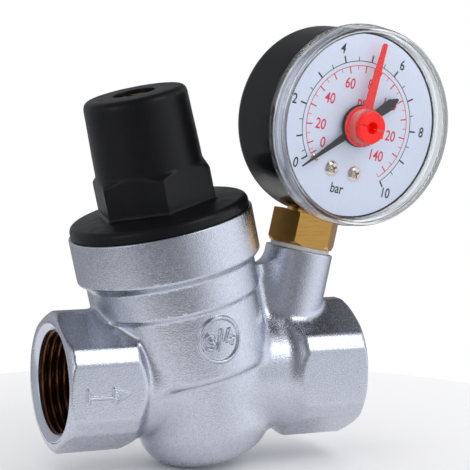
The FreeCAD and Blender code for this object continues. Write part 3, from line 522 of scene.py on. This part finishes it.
def casting_field(points, sizes, marks):
    """The body; its cast marks are left off while the first coarse mesh is made."""
    fillet = sizes.fillet / MM
    raised = sizes.emblem_height / MM * marks
    half_line = sizes.emblem_width / MM / 2
    x, y, z = points[:, 0], points[:, 1], points[:, 2]
    u, v, s = local(points, BORE_FRAME)
    radius = np.hypot(u, v)

    along = (np.arctan2(u, -v) - EMBLEM_TURN) * SHIELD_R
    above = s - EMBLEM_HEIGHT_ON_BORE
    ring_line = np.abs(np.hypot(along, above) - sizes.emblem_radius / MM)
    mark = np.minimum(ring_line, strokes(along, above, size_mark()))
    emblem = raised * (1 - ease(mark, half_line - 0.3, half_line + 0.25))
    wall = SHIELD_R + MIDDLE_STEP * ease(s, 18.2, 19.8) + RIM_STEP * ease(s, 25.9, 28.2) + emblem
    bands = (radius - wall) / 1.15
    bands = meet(bands, SHIELD_BOTTOM - s, 1.8)
    bands = meet(bands, s - RIM_TOP, 0.4)

    off_axis = np.hypot(u - 0.8, v)
    across, along_cup = off_axis - 7.7, np.abs(s + 1.15) - 11.15
    outside = np.hypot(np.maximum(across, 0), np.maximum(along_cup, 0))
    cup = outside + np.minimum(np.maximum(across, along_cup), 0) - 8.5

    port_radius = np.hypot(y, z)
    neck = np.maximum(port_radius - NECK_R, np.abs(x - 36.0) - 24.0)
    arrow = raised * 0.7 * (1 - ease(strokes(x, z + 0.5, flow_arrow()), half_line - 0.3, half_line + 0.2))
    arrow = np.where(y < 0, arrow, 0)
    inlet = port_block(points, x - INLET_FACE, INLET_HEX, arrow)
    outlet = port_block(points, OUTLET_FACE - x, OUTLET_HEX, 0)

    bu, bv, bs = local(points, BOSS_FRAME)
    boss_radius = np.hypot(bu, bv)
    boss = meet(boss_radius - 8.3 - 1.2 * ease(-bs, -16, -4), np.maximum(bs - 30.1, -bs), 0.5)

    fx = x - CROSSING_X
    half_web = 2.3 + (26 - z) * 0.21
    web = np.maximum(np.maximum(np.abs(y) - half_web, np.abs(z - 12.1) - 14.1), np.maximum(8 - fx, fx - 24))

    body = join(neck, cup, 2.2)
    body = join(body, inlet, 0.7)
    body = join(body, bands, fillet)
    body = join(body, join(boss, web, 3.2), 2.6)
    body = join(body, outlet, 1.2)

    body = np.maximum(body, -port_room(points, x - INLET_FACE))
    body = np.maximum(body, -port_room(points, OUTLET_FACE - x))
    body = np.maximum(body, -core_room(u, v, s))
    body = np.maximum(body, -capsule(points, (13.5, 0, -0.3), (31, 0, -11.4), 5.2))
    body = np.maximum(body, -capsule(points, (62.5, 0, 0.3), (36, 0, 17.1), 5.2))
    body = np.maximum(body, -np.maximum(boss_radius - 5.75, 18 - bs))
    return np.maximum(body, -np.maximum(boss_radius - 1.5, np.maximum(6 - bs, bs - 19)))


def hexagon_field(a, b, half_flats, turn):
    """Hexagonal prism about an axis, one flat's normal turned from -Y by an angle."""
    angle = np.arctan2(a, -b) - turn
    folded = np.abs((angle + math.pi / 6) % (math.pi / 3) - math.pi / 6)
    return np.hypot(a, b) * np.cos(folded) - half_flats


def bonnet_field(points, marks):
    """The bonnet; its signs are left off while the first coarse mesh is made."""
    u, v, s = local(points, BORE_FRAME)
    radius = np.hypot(u, v)
    crown = 0.9 * ease(radius, 21.6, 13.5)
    flange = meet(radius - 21.6, s - 41.3 - crown, 1.6)
    flange = meet(flange, 38.5 - s, 0.3)
    hexagon = hexagon_field(u, v, 12.9, math.radians(20))
    slope = (s - 51.6 + (radius - 12.85) * 0.75) / 1.25
    hexagon = meet(meet(hexagon, slope, 0.5), 40 - s, 0.2)
    cap = radius - 12.85 + 0.4 * ease(s, 51.6, 69.7)
    cap = meet(cap, s - 69.7, 2.2)
    cap = np.maximum(cap, 39 - s)
    body = join(join(flange, hexagon, 0.8), cap, 0.5)
    skirt = np.maximum(np.maximum(radius - 19.1, 32.4 - s), s - 40)
    body = np.minimum(body, skirt)
    signs = [((-9.3, 0), (-6.9, 0)), ((-8.1, -1.2), (-8.1, 1.2)), ((6.9, 0), (9.3, 0))]
    if marks:
        body = np.maximum(body, -np.maximum(strokes(u, v, signs) - 0.33, 69.2 - s))
    room = np.maximum(radius - 11.2, s - 60.5)
    room = np.minimum(room, np.maximum(radius - 6.85, s - 66))
    room = np.minimum(room, meet(radius - 5.0, 65 - s, 0.1))
    room = np.minimum(room, np.maximum(radius - 16.4 + np.maximum(s - 37.4, 0) * 1.13, s - 42))
    return np.maximum(body, -room)


# ---- meshing a field ----

def points_of(mesh):
    """Vertices of a mesh in millimetres."""
    points = np.empty(len(mesh.vertices) * 3)
    mesh.vertices.foreach_get("co", points)
    return points.reshape(-1, 3) / MM


def stand(name, mesh):
    """Object that shows a mesh in the scene."""
    piece = bpy.data.objects.new(name, mesh)
    bpy.context.scene.collection.objects.link(piece)
    return piece


def slope_of(field, points, step=0.02):
    """Gradient of a field at some points."""
    found = np.empty_like(points)
    for k in range(3):
        reach = np.zeros(3)
        reach[k] = step
        found[:, k] = (field(points + reach) - field(points - reach)) / (2 * step)
    return found


def normals_of(field, points, step=0.02):
    slope = slope_of(field, points, step)
    return slope / np.maximum(np.linalg.norm(slope, axis=1), 1e-9)[:, None]


def settle(field, points, rounds, limit):
    """Moves points onto the field's surface, each round by no more than a limit."""
    for _ in range(rounds):
        value = field(points)
        slope = slope_of(field, points)
        size = np.maximum((slope ** 2).sum(1), 1e-6)
        move = -(value / size)[:, None] * slope
        far = np.linalg.norm(move, axis=1)
        points = points + move * np.minimum(1, limit / np.maximum(far, 1e-9))[:, None]
    return points


def cells_of(values):
    """Vertices and quads of a field's grid, one vertex in each cell that the surface crosses."""
    inside = values < 0
    shape = tuple(n - 1 for n in values.shape)
    corners = [(i, j, k) for i in (0, 1) for j in (0, 1) for k in (0, 1)]

    def part(grid, i, j, k):
        return grid[i:i + shape[0], j:j + shape[1], k:k + shape[2]]

    count = sum(part(inside, *c).astype(np.int8) for c in corners)
    cell = np.argwhere((count > 0) & (count < 8))
    number = np.full(shape, -1, np.int64)
    number[tuple(cell.T)] = np.arange(len(cell))
    total, hits = np.zeros((len(cell), 3)), np.zeros(len(cell))
    for a in corners:
        for axis in range(3):
            if a[axis]:
                continue
            b = tuple(1 if n == axis else a[n] for n in range(3))
            va = values[tuple((cell + a).T)]
            vb = values[tuple((cell + b).T)]
            crossed = (va < 0) != (vb < 0)
            t = np.where(crossed, va / np.where(va == vb, 1, va - vb), 0)
            place = np.tile(np.array(a, float), (len(cell), 1))
            place[:, axis] += t
            total += np.where(crossed[:, None], place, 0)
            hits += crossed
    vertices = cell + total / hits[:, None]
    quads = []
    for axis in range(3):
        p, q = [n for n in range(3) if n != axis]
        low = [slice(1, None)] * 3
        low[axis] = slice(0, -1)
        ahead = list(low)
        ahead[axis] = slice(1, None)
        near, far = inside[tuple(low)], inside[tuple(ahead)]
        at = np.argwhere(near != far)
        at[:, p] += 1
        at[:, q] += 1
        inner = np.all((at[:, [p, q]] >= 1) & (at[:, [p, q]] < np.array(shape)[[p, q]]), axis=1)
        at = at[inner]
        steps = []
        for dp, dq in ((0, 0), (1, 0), (1, 1), (0, 1)):
            cell_at = at.copy()
            cell_at[:, p] -= dp
            cell_at[:, q] -= dq
            steps.append(number[tuple(cell_at.T)])
        found = np.stack(steps, axis=1)
        flip = inside[tuple(at.T)] != (axis != 1)
        found[flip] = found[flip][:, ::-1]
        quads.append(found)
    return vertices, np.concatenate(quads)


def relax(points, faces, rounds):
    """Evens out the spacing of the vertices."""
    for _ in range(rounds):
        total, hits = np.zeros_like(points), np.zeros(len(points))
        for k in range(4):
            for j in (1, 3):
                np.add.at(total, faces[:, k], points[faces[:, (k + j) % 4]])
                np.add.at(hits, faces[:, k], 1)
        points = points * 0.5 + 0.5 * total / np.maximum(hits, 1)[:, None]
    return points


def refine(mesh, field, bend, keep_fine, cuts):
    """Divides the faces where the surface bends or carries fine marks, then settles the new vertices."""
    for _ in range(cuts):
        points = points_of(mesh)
        normal = normals_of(field, points)
        fine = keep_fine(points) if keep_fine else np.zeros(len(points), bool)
        form = bmesh.new()
        form.from_mesh(mesh)
        edges = set()
        for face in form.faces:
            ids = [vert.index for vert in face.verts]
            spread = min(float(normal[ids[0]] @ normal[i]) for i in ids[1:])
            if spread < math.cos(bend) or fine[ids].any():
                edges.update(face.edges)
        edges = sorted(edges, key=lambda edge: edge.index)
        bmesh.ops.subdivide_edges(form, edges=edges, cuts=1, use_grid_fill=True)
        bmesh.ops.triangulate(form, faces=[face for face in form.faces if len(face.verts) > 4])
        form.to_mesh(mesh)
        form.free()
        points = settle(field, points_of(mesh), 3, 0.15)
        mesh.vertices.foreach_set("co", (points * MM).ravel())


def mesh_field(name, field, low, high, step, bend, keep_fine, cuts):
    """Object made from a field, with its normals taken from the field itself."""
    axes = [np.arange(a, b + step, step) for a, b in zip(low, high)]
    shape = tuple(len(axis) for axis in axes)
    values = np.empty(shape)
    side = np.stack(np.meshgrid(axes[1], axes[2], indexing="ij"), axis=-1).reshape(-1, 2)
    for i, x in enumerate(axes[0]):
        sheet = np.column_stack([np.full(len(side), x), side])
        values[i] = field(sheet, False).reshape(shape[1:])
    vertices, quads = cells_of(values)
    points = np.array(low) + vertices * step

    def plain(points):
        return field(points, False)

    points = settle(plain, relax(settle(plain, points, 2, step), quads, 2), 4, step / 2)
    mesh = bpy.data.meshes.new(name)
    mesh.from_pydata((points * MM).tolist(), [], quads.tolist())
    refine(mesh, field, bend, keep_fine, cuts)
    # A wide step keeps the seams between two fields from showing as facets.
    normal = normals_of(field, points_of(mesh), 0.1)
    mesh.polygons.foreach_set("use_smooth", np.ones(len(mesh.polygons), bool))
    mesh.update()
    mesh.normals_split_custom_set_from_vertices(normal.tolist())
    return stand(name, mesh)


# ---- turned and printed pieces ----

def loft(name, rings, form, placing, sharp):
    """Closed piece through rings of vertices, shaded smooth but for edges over a sharp angle."""
    for near, far in zip(rings, rings[1:] + rings[:1]):
        for k in range(len(near)):
            n = (k + 1) % len(near)
            form.faces.new((near[k], near[n], far[n], far[k]))
    bmesh.ops.recalc_face_normals(form, faces=form.faces)
    for face in form.faces:
        face.smooth = True
    for edge in form.edges:
        edge.smooth = edge.calc_face_angle(0) < math.radians(sharp)
    mesh = bpy.data.meshes.new(name)
    form.to_mesh(mesh)
    form.free()
    mesh.transform(Matrix.Scale(MM, 4) @ placing)
    return stand(name, mesh)


def turned_piece(name, profile, placing, segments):
    """Closed solid of revolution about the placed frame's Z, from (r, z) corners in millimetres."""
    form = bmesh.new()
    rings = []
    for r, z in profile:
        angles = [2 * math.pi * k / segments for k in range(segments)]
        rings.append([form.verts.new((r * math.cos(t), r * math.sin(t), z)) for t in angles])
    return loft(name, rings, form, placing, 35)


def arc_points(r, z, radius, start, end, pieces):
    angles = [math.radians(start + (end - start) * k / pieces) for k in range(pieces + 1)]
    return [(r + radius * math.cos(t), z + radius * math.sin(t)) for t in angles]


def threaded_sleeve(name, placing, pitch, depth, length, turns_by=96):
    """Internal thread cut in a sleeve: crest radius inside, plain outside, closed at both ends."""
    crest, outside, start = 12.06, 13.55, 1.1
    steps = int(round((length - start) / pitch * 10))
    form = bmesh.new()
    rows = []
    for i in range(steps + 1):
        z = start + (length - start) * i / steps
        row = []
        for k in range(turns_by):
            t = 2 * math.pi * k / turns_by
            phase = (z / pitch - k / turns_by) % 1.0
            flank = min(phase, 1 - phase) * 2
            cut = min(1.0, max(0.0, (flank - 0.12) / 0.76))
            r = crest + depth * cut
            row.append(form.verts.new((r * math.cos(t), r * math.sin(t), z)))
        rows.append(row)
    for z in (length, start):
        ring = [2 * math.pi * k / turns_by for k in range(turns_by)]
        rows.append([form.verts.new((outside * math.cos(t), outside * math.sin(t), z)) for t in ring])
    return loft(name, rows, form, placing, 30)


def printed_piece(name, shapes, ink):
    """One thin piece of print from flat outlines in the dial frame, in millimetres."""
    mesh = bpy.data.meshes.new(name)
    form = bmesh.new()
    for outline in shapes:
        bottom = [form.verts.new((x, y, DIAL_FACE + PRINT_LIFT)) for x, y in outline]
        top = [form.verts.new((x, y, DIAL_FACE + ink)) for x, y in outline]
        form.faces.new(bottom[::-1])
        form.faces.new(top)
        for k in range(len(outline)):
            n = (k + 1) % len(outline)
            form.faces.new((bottom[k], bottom[n], top[n], top[k]))
    bmesh.ops.recalc_face_normals(form, faces=form.faces)
    form.to_mesh(mesh)
    form.free()
    mesh.transform(Matrix.Scale(MM, 4) @ DIAL_FRAME)
    return stand(name, mesh)


def on_dial(radius, clockwise):
    angle = math.radians(clockwise)
    return radius * math.sin(angle), radius * math.cos(angle)


def tick(clockwise, near, far, width):
    """Four corners of a scale mark between two radii."""
    angle = math.radians(clockwise)
    out, side = (math.sin(angle), math.cos(angle)), (math.cos(angle), -math.sin(angle))
    half = width / 2
    return [
        (out[0] * near - side[0] * half, out[1] * near - side[1] * half),
        (out[0] * near + side[0] * half, out[1] * near + side[1] * half),
        (out[0] * far + side[0] * half, out[1] * far + side[1] * half),
        (out[0] * far - side[0] * half, out[1] * far - side[1] * half),
    ]


def arc_line(start, end, radius, width):
    """Short pieces of a thin arc, each a four-cornered outline."""
    count = 120
    found = []
    for k in range(count):
        a = start + (end - start) * k / count
        b = start + (end - start) * (k + 1) / count
        near, far = radius - width / 2, radius + width / 2
        found.append([on_dial(near, a), on_dial(far, a), on_dial(far, b), on_dial(near, b)])
    return found


def bar_angle(bar):
    """Pointer angle at a pressure; the scale is compressed below 1 bar, as on such gauges."""
    if bar >= 1:
        return FIVE_BAR + BAR_STEP * (bar - 5)
    one = FIVE_BAR - 4 * BAR_STEP
    if bar >= 0.5:
        return one + (bar - 1) * 2 * (one + 122.7)
    return -122.7 + (bar - 0.5) * 2 * (-122.7 - ZERO_BAR)


def figures(name, items, height, ink, narrow):
    """Upright figures set in the built-in face, each centred on its point of the dial."""
    meshes = []
    for text, x, y in items:
        curve = bpy.data.curves.new(name, "FONT")
        curve.body = text
        curve.align_x, curve.align_y = "CENTER", "CENTER"
        curve.size = height * 1.37
        curve.extrude = ink / 2
        curve.offset = 0.045
        curve.resolution_u = 6
        holder = stand(name, curve)
        mesh = bpy.data.meshes.new_from_object(holder)
        bpy.data.objects.remove(holder)
        mesh.transform(Matrix.Diagonal((narrow, 1, 1, 1)))
        mesh.transform(Matrix.Translation((x, y, DIAL_FACE + ink / 2 + PRINT_LIFT)))
        meshes.append(mesh)
    form = bmesh.new()
    for mesh in meshes:
        form.from_mesh(mesh)
    whole = bpy.data.meshes.new(name)
    form.to_mesh(whole)
    form.free()
    whole.transform(Matrix.Scale(MM, 4) @ DIAL_FRAME)
    return stand(name, whole)


# ---- operators ----

class CastBody(bpy.types.Operator):
    """Casts the chrome-plated body with its fillets, bands, size mark and flow arrow"""

    bl_idname = "reducing_valve.cast_body"
    bl_label = "Cast the body"

    def execute(self, context):
        sizes = context.scene.valve_casting
        colours = context.scene.valve_colours

        def field(points, marks=True):
            return casting_field(points, sizes, marks)

        def marked(points):
            u, v, s = local(points, BORE_FRAME)
            along = (np.arctan2(u, -v) - EMBLEM_TURN) * SHIELD_R
            near_emblem = np.hypot(along, s - EMBLEM_HEIGHT_ON_BORE) < 6.6
            near_emblem &= np.hypot(u, v) > 18
            x, y, z = points.T
            near_arrow = (y < -15) & (x > 1) & (x < 14) & (np.abs(z + 0.5) < 2.6)
            return near_emblem | near_arrow

        low = (-2.6, -23.2, -25.9)
        high = (75.2, 23.2, 44.0)
        step = sizes.mesh_step / MM
        body = mesh_field("valve_casting", field, low, high, step, math.radians(25), marked, 2)
        dress(body, blasted_chrome(colours, sizes))
        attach(body, "valve")
        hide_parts("valve_body")
        return {"FINISHED"}


class CutPorts(bpy.types.Operator):
    """Turns the mouth of each port and taps its pipe thread"""

    bl_idname = "reducing_valve.cut_ports"
    bl_label = "Cut the ports"

    def execute(self, context):
        sizes = context.scene.valve_casting
        colours = context.scene.valve_colours
        plated = turned_chrome(colours)
        # The thread's finish carries painted shade: its brass is darkened to brown for the inside of the
        # port.
        thread_finish_painted_shade = tapped_brass(colours)
        pitch, depth = sizes.thread_pitch / MM, sizes.thread_depth / MM
        quarter = Matrix.Rotation(math.radians(90), 4, "Y")
        placings = {
            "inlet": Matrix.Translation((INLET_FACE, 0, 0)) @ quarter,
            "outlet": Matrix.Translation((OUTLET_FACE, 0, 0)) @ quarter.inverted(),
        }
        mouth = [(14.25, 0.12), (14.1, 0.02), (13.9, 0.05), (12.45, 0.95), (12.35, 1.05)]
        mouth += [(12.35, 1.9), (14.15, 1.9)]
        for side, placing in placings.items():
            ring = turned_piece(side + "_mouth", mouth, placing, 160)
            dress(ring, plated)
            thread = threaded_sleeve(side + "_thread", placing, pitch, depth, THREAD_DEPTH)
            dress(thread, thread_finish_painted_shade)
            for piece, slot in ((ring, "satin_chrome"), (thread, "brass")):
                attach(piece, "valve")
        return {"FINISHED"}


class MouldBonnet(bpy.types.Operator):
    """Moulds the black spring bonnet with its flange, hexagon, cap and signs"""

    bl_idname = "reducing_valve.mould_bonnet"
    bl_label = "Mould the bonnet"

    def execute(self, context):
        def field(points, marks=True):
            return bonnet_field(points, marks)

        def marked(points):
            u, v, s = local(points, BORE_FRAME)
            return (s > 69.0) & (np.abs(v) < 2) & (np.hypot(u, v) > 4.5)

        low = (-5.5, -22.6, 25.5)
        high = (47.5, 22.6, 72.5)
        bonnet = mesh_field("bonnet_moulding", field, low, high, 0.7, math.radians(22), marked, 2)
        dress(bonnet, moulded_nylon(context.scene.valve_colours))
        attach(bonnet, "valve")
        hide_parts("bonnet")
        return {"FINISHED"}


class PrintDial(bpy.types.Operator):
    """Prints the black bar scale and the red psi scale on the dial"""

    bl_idname = "reducing_valve.print_dial"
    bl_label = "Print the dial"

    def execute(self, context):
        gauge = context.scene.valve_gauge
        colours = context.scene.valve_colours
        ink = gauge.ink / MM
        arc, psi_arc = gauge.arc_radius / MM, gauge.psi_radius / MM
        black = screen_ink("black_screen_print", colours.black_ink)
        red = screen_ink("red_screen_print", colours.red_ink)

        bars = arc_line(bar_angle(0), bar_angle(10), arc, 0.18)
        bars += [tick(bar_angle(b), arc, 17.1, 0.38) for b in range(11)]
        bars += [tick(bar_angle(b + 0.5), arc, 16.4, 0.2) for b in range(10)]
        psis = arc_line(bar_angle(0), bar_angle(10), psi_arc, 0.18)
        psis += [tick(bar_angle(p / PSI_PER_BAR), psi_arc, 12.6, 0.3) for p in range(0, 150, 10)]
        psis += [tick(bar_angle(p / PSI_PER_BAR), psi_arc, 13.3, 0.15) for p in range(5, 150, 10)]

        height = gauge.figure_height / MM
        bar_items = []
        for b in range(0, 11, 2):
            x, y = on_dial(18.9, bar_angle(b))
            bar_items.append((str(b), x, y))
        bar_items.append(("bar", *on_dial(15.9, -173)))
        psi_items = []
        for k, angle in enumerate((-124, -99, -62, -25, 12, 50, 95, 131)):
            x, y = on_dial(9.4 if k > 5 else 10.3, angle)
            psi_items.append((str(20 * k), x, y))
        psi_items.append(("psi", 0.3, 5.7))

        pieces = [
            (printed_piece("bar_scale", bars, ink), black),
            (printed_piece("psi_scale", psis, ink), red),
            (figures("bar_figures", bar_items, height * 0.96, ink, 0.82), black),
            (figures("psi_figures", psi_items, height, ink, 0.82), red),
        ]
        for piece, material in pieces:
            dress(piece, material)
            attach(piece, "valve")
        return {"FINISHED"}


class FitWindow(bpy.types.Operator):
    """Moulds the clear snap-on window as a stepped rim, a pane and the collar round the button"""

    bl_idname = "reducing_valve.fit_window"
    bl_label = "Fit the window"

    def execute(self, context):
        outer = context.scene.valve_gauge.window_radius / MM
        rim = [(22.2, 13.75), (23.05, 13.75), (23.05, 12.6)]
        rim += [(outer - 0.3, 12.6), (outer, 12.9), (outer, 13.6)]
        rim += arc_points(outer - 1.0, 17.5, 0.5, 0, 90, 8)
        rim += [(22.95, 18.0), (22.6, 17.7), (22.2, 17.62)]
        pane = [(22.15, 16.5), (22.15, 17.6), (20.0, 17.9), (4.35, 17.9), (4.35, 16.5)]
        collar = [(4.3, 16.5), (4.3, 17.9), (4.15, 18.85), (4.0, 18.9), (2.5, 18.9), (2.5, 16.5)]
        rim_piece = turned_piece("window_rim", rim, DIAL_FRAME, 192)
        pane_piece = turned_piece("window_pane", pane, DIAL_FRAME, 192)
        collar_piece = turned_piece("window_collar", collar, DIAL_FRAME, 96)
        dress(rim_piece, clear_plastic("moulded_clear_polycarbonate", 0.09, False))
        dress(pane_piece, clear_plastic("polished_clear_polycarbonate", 0.03, True))
        dress(collar_piece, clear_plastic("frosted_clear_polycarbonate", 0.3, False))
        for piece in (rim_piece, pane_piece, collar_piece):
            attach(piece, "valve")
        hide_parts("gauge_window")
        return {"FINISHED"}


class FinishPieces(bpy.types.Operator):
    """Gives every carried-over piece its finish and eases its edges"""

    bl_idname = "reducing_valve.finish_pieces"
    bl_label = "Finish the pieces"

    def execute(self, context):
        colours = context.scene.valve_colours
        brass = machined_brass("turned_brass", colours, 0.25, 0.24)
        finishes = {
            "brass": brass,
            "white_nylon": natural_nylon(colours),
            "rubber": nitrile_rubber(),
            "spring_steel": plain_metal("drawn_spring_steel", "#8C8D90", 0.3, 0.3, 0.01),
            "stainless_steel": plain_metal("stainless_gauze", "#A9AAAC", 0.35, 0.4, 0.03),
            "black_enamel": baked_enamel(colours),
            "nickel_plate": nickel_plate(),
            "bronze": plain_metal("phosphor_bronze", "#B98252", 0.3, 0.5, 0.01),
            "dial_white": dial_lacquer(colours),
            "zinc_steel": plain_metal("zinc_plated_steel", "#B9BCBE", 0.32, 0.6, 0.01),
            "pointer_black": pointer_lacquer(colours),
            "red_plastic": red_acetal(colours),
        }
        hexagon_brass = machined_brass("milled_brass_bar", colours, 0.35, 0.27)
        for row in frame["record"]["subparts"]:
            node = frame["nodes"][row["node"]]
            finish = finishes.get(row["material_slot"])
            if finish is None or node.hide_render:
                continue
            dress(node, hexagon_brass if row["node"] == "gauge_socket" else finish)
        widths = {"gauge_socket": 0.18, "set_pointer_hub": 0.12, "set_pointer_arm": 0.06, "pointer": 0.05}
        for name, width in widths.items():
            ease_edges = frame["nodes"][name].modifiers.new("eased_edges", "BEVEL")
            ease_edges.width = width * MM
            ease_edges.segments = 2
            ease_edges.limit_method = "ANGLE"
            ease_edges.angle_limit = math.radians(40)
            ease_edges.harden_normals = False
        return {"FINISHED"}


class SetStage(bpy.types.Operator):
    """Lays a plain pale floor, hangs soft lights and sets up the camera"""

    bl_idname = "reducing_valve.set_stage"
    bl_label = "Set the stage"

    def light_room(self, scene):
        """White room whose walls look brighter or darker round the compass in polished surfaces."""
        world = bpy.data.worlds.new("studio")
        world.use_nodes = True
        scene.world = world
        tree = world.node_tree
        place = add_node(tree, "ShaderNodeTexCoord").outputs["Generated"]
        # Azimuth runs from -Y through +X; the ramp's stops are degrees and brightness.
        quarter = (0, 0, math.radians(90))
        turned = add_node(tree, "ShaderNodeMapping", None, {"Vector": place, "Rotation": quarter})
        compass = add_node(
            tree, "ShaderNodeTexGradient", {"gradient_type": "RADIAL"}, {"Vector": turned.outputs["Vector"]}
        )
        walls = (
            (-180, 0.40), (-146, 0.52), (-103, 0.55), (-72, 0.72), (-42, 0.36), (-16, 0.28),
            (3, 0.38), (22, 0.72), (42, 1.15), (62, 1.25), (82, 1.2), (101, 0.85),
            (121, 0.38), (141, 0.18), (160, 0.24), (180, 0.40),
        )
        brightest = max(bright for _, bright in walls)
        heights = ((-1.0, 0.2), (-0.6, 0.25), (-0.35, 0.8), (0.0, 1.0), (0.4, 0.95), (0.7, 0.5), (1.0, 0.35))
        split = add_node(tree, "ShaderNodeSeparateXYZ", None, {"Vector": place})
        rise = add_node(
            tree, "ShaderNodeMapRange", None, {"Value": split.outputs["Z"], "From Min": -1.0, "From Max": 1.0}
        )
        ramps = []
        for socket, stops, low, high in (
            (compass.outputs["Fac"], walls, -180, 180), (rise.outputs["Result"], heights, -1, 1)
        ):
            ramp = add_node(tree, "ShaderNodeValToRGB", None, {"Fac": socket})
            elements = ramp.color_ramp.elements
            while len(elements) < len(stops):
                elements.new(0.5)
            for element, (at, bright) in zip(elements, stops):
                element.position = (at - low) / (high - low)
                level = bright / brightest
                element.color = (level * 0.98, level * 0.99, level * 1.02, 1)
            ramps.append(ramp.outputs["Color"])
        seen = add_node(
            tree, "ShaderNodeVectorMath", {"operation": "MULTIPLY"}, {0: ramps[0], 1: ramps[1]}
        )
        walls_seen = add_node(
            tree, "ShaderNodeVectorMath", {"operation": "SCALE"},
            {0: seen.outputs["Vector"], "Scale": brightest * brightest},
        )
        rays = add_node(tree, "ShaderNodeLightPath")
        mirrored = add_node(
            tree, "ShaderNodeMath", {"operation": "SUBTRACT", "use_clamp": True},
            {0: rays.outputs["Is Glossy Ray"], 1: rays.outputs["Is Transmission Ray"]},
        )
        mix = add_node(
            tree, "ShaderNodeMix", {"data_type": "RGBA"}, {"Factor": mirrored.outputs["Value"]}
        )
        mix.inputs[6].default_value = (1.0, 1.0, 1.0, 1.0)
        tree.links.new(walls_seen.outputs["Vector"], mix.inputs[7])
        tree.links.new(mix.outputs[2], tree.nodes["Background"].inputs["Color"])
        tree.nodes["Background"].inputs["Strength"].default_value = 1.0

    def execute(self, context):
        scene = context.scene
        form = bmesh.new()
        bmesh.ops.create_circle(form, cap_ends=True, segments=96, radius=0.12)
        mesh = bpy.data.meshes.new("floor")
        form.to_mesh(mesh)
        form.free()
        floor = stand("floor", mesh)
        floor.location = ((cad_low.x + cad_high.x) / 2, 0, cad_low.z)
        # Pale matt board: almost white, with nothing to draw the eye.
        board, tree, shader, place = start_finish("pale_matt_board", linear("#F4F4F6"), 0.0, 0.8, 1.5)
        grain(tree, shader, place, 2.0, 0.01)
        dress(floor, board)
        self.light_room(scene)

        # Key softbox, high on the front right, and a weaker one on the left.
        middle = Vector(((cad_low.x + cad_high.x) / 2, 0, 0.03))
        lamps = (("key_softbox", 28, 44, 0.9, 0.42, 2.4), ("left_softbox", -72, 14, 0.9, 0.4, 0.8))
        for name, azimuth, elevation, distance, size, radiance in lamps:
            a, e = math.radians(azimuth), math.radians(elevation)
            spot = Vector((math.sin(a) * math.cos(e), -math.cos(a) * math.cos(e), math.sin(e))) * distance
            light = bpy.data.lights.new(name, "AREA")
            light.shape = "SQUARE"
            light.size = size
            light.energy = radiance * math.pi * size * size
            lamp = bpy.data.objects.new(name, light)
            lamp.location = middle + spot
            lamp.rotation_euler = (-spot).to_track_quat("-Z", "Y").to_euler()
            scene.collection.objects.link(lamp)

        lens = bpy.data.cameras.new("camera")
        lens.sensor_width = 36.0
        lens.lens = 144.25
        lens.clip_start, lens.clip_end = 0.01, 50.0
        camera = bpy.data.objects.new("camera", lens)
        across = Vector((0.9151, -0.4028, 0.0211))
        ahead = Vector((0.4021, 0.9070, -0.1250))
        up = across.cross(ahead)
        turn = Matrix((across, up, -ahead)).transposed()
        camera.matrix_world = Matrix.Translation((-0.13845, -0.41353, 0.09040)) @ turn.to_4x4()
        scene.collection.objects.link(camera)
        scene.camera = camera
        scene.view_settings.view_transform = "Standard"
        return {"FINISHED"}


class ValvePanel(bpy.types.Panel):
    """Sizes, colours and steps of the valve"""

    bl_idname = "VIEW3D_PT_reducing_valve"
    bl_label = "Reducing Valve"
    bl_space_type = "VIEW_3D"
    bl_region_type = "UI"
    bl_category = "Reducing Valve"

    def draw(self, context):
        scene = context.scene
        for group in (scene.valve_casting, scene.valve_gauge, scene.valve_colours):
            box = self.layout.box()
            for name in group.__annotations__:
                box.prop(group, name)
        for step in STEPS:
            self.layout.operator(step.bl_idname)


STEPS = (CastBody, CutPorts, MouldBonnet, PrintDial, FitWindow, FinishPieces, SetStage)
GROUPS = {"valve_casting": CastingSizes, "valve_gauge": GaugeSizes, "valve_colours": FinishColours}


def register():
    for name, group in GROUPS.items():
        bpy.utils.register_class(group)
        setattr(bpy.types.Scene, name, bpy.props.PointerProperty(type=group))
    for step in STEPS:
        bpy.utils.register_class(step)
    bpy.utils.register_class(ValvePanel)


def unregister():
    bpy.utils.unregister_class(ValvePanel)
    for step in reversed(STEPS):
        bpy.utils.unregister_class(step)
    for name, group in GROUPS.items():
        delattr(bpy.types.Scene, name)
        bpy.utils.unregister_class(group)


def main():
    register()
    bpy.ops.reducing_valve.cast_body()
    bpy.ops.reducing_valve.cut_ports()
    bpy.ops.reducing_valve.mould_bonnet()
    bpy.ops.reducing_valve.print_dial()
    bpy.ops.reducing_valve.fit_window()
    bpy.ops.reducing_valve.finish_pieces()
    bpy.ops.reducing_valve.set_stage()


if __name__ == "__main__":
    main()
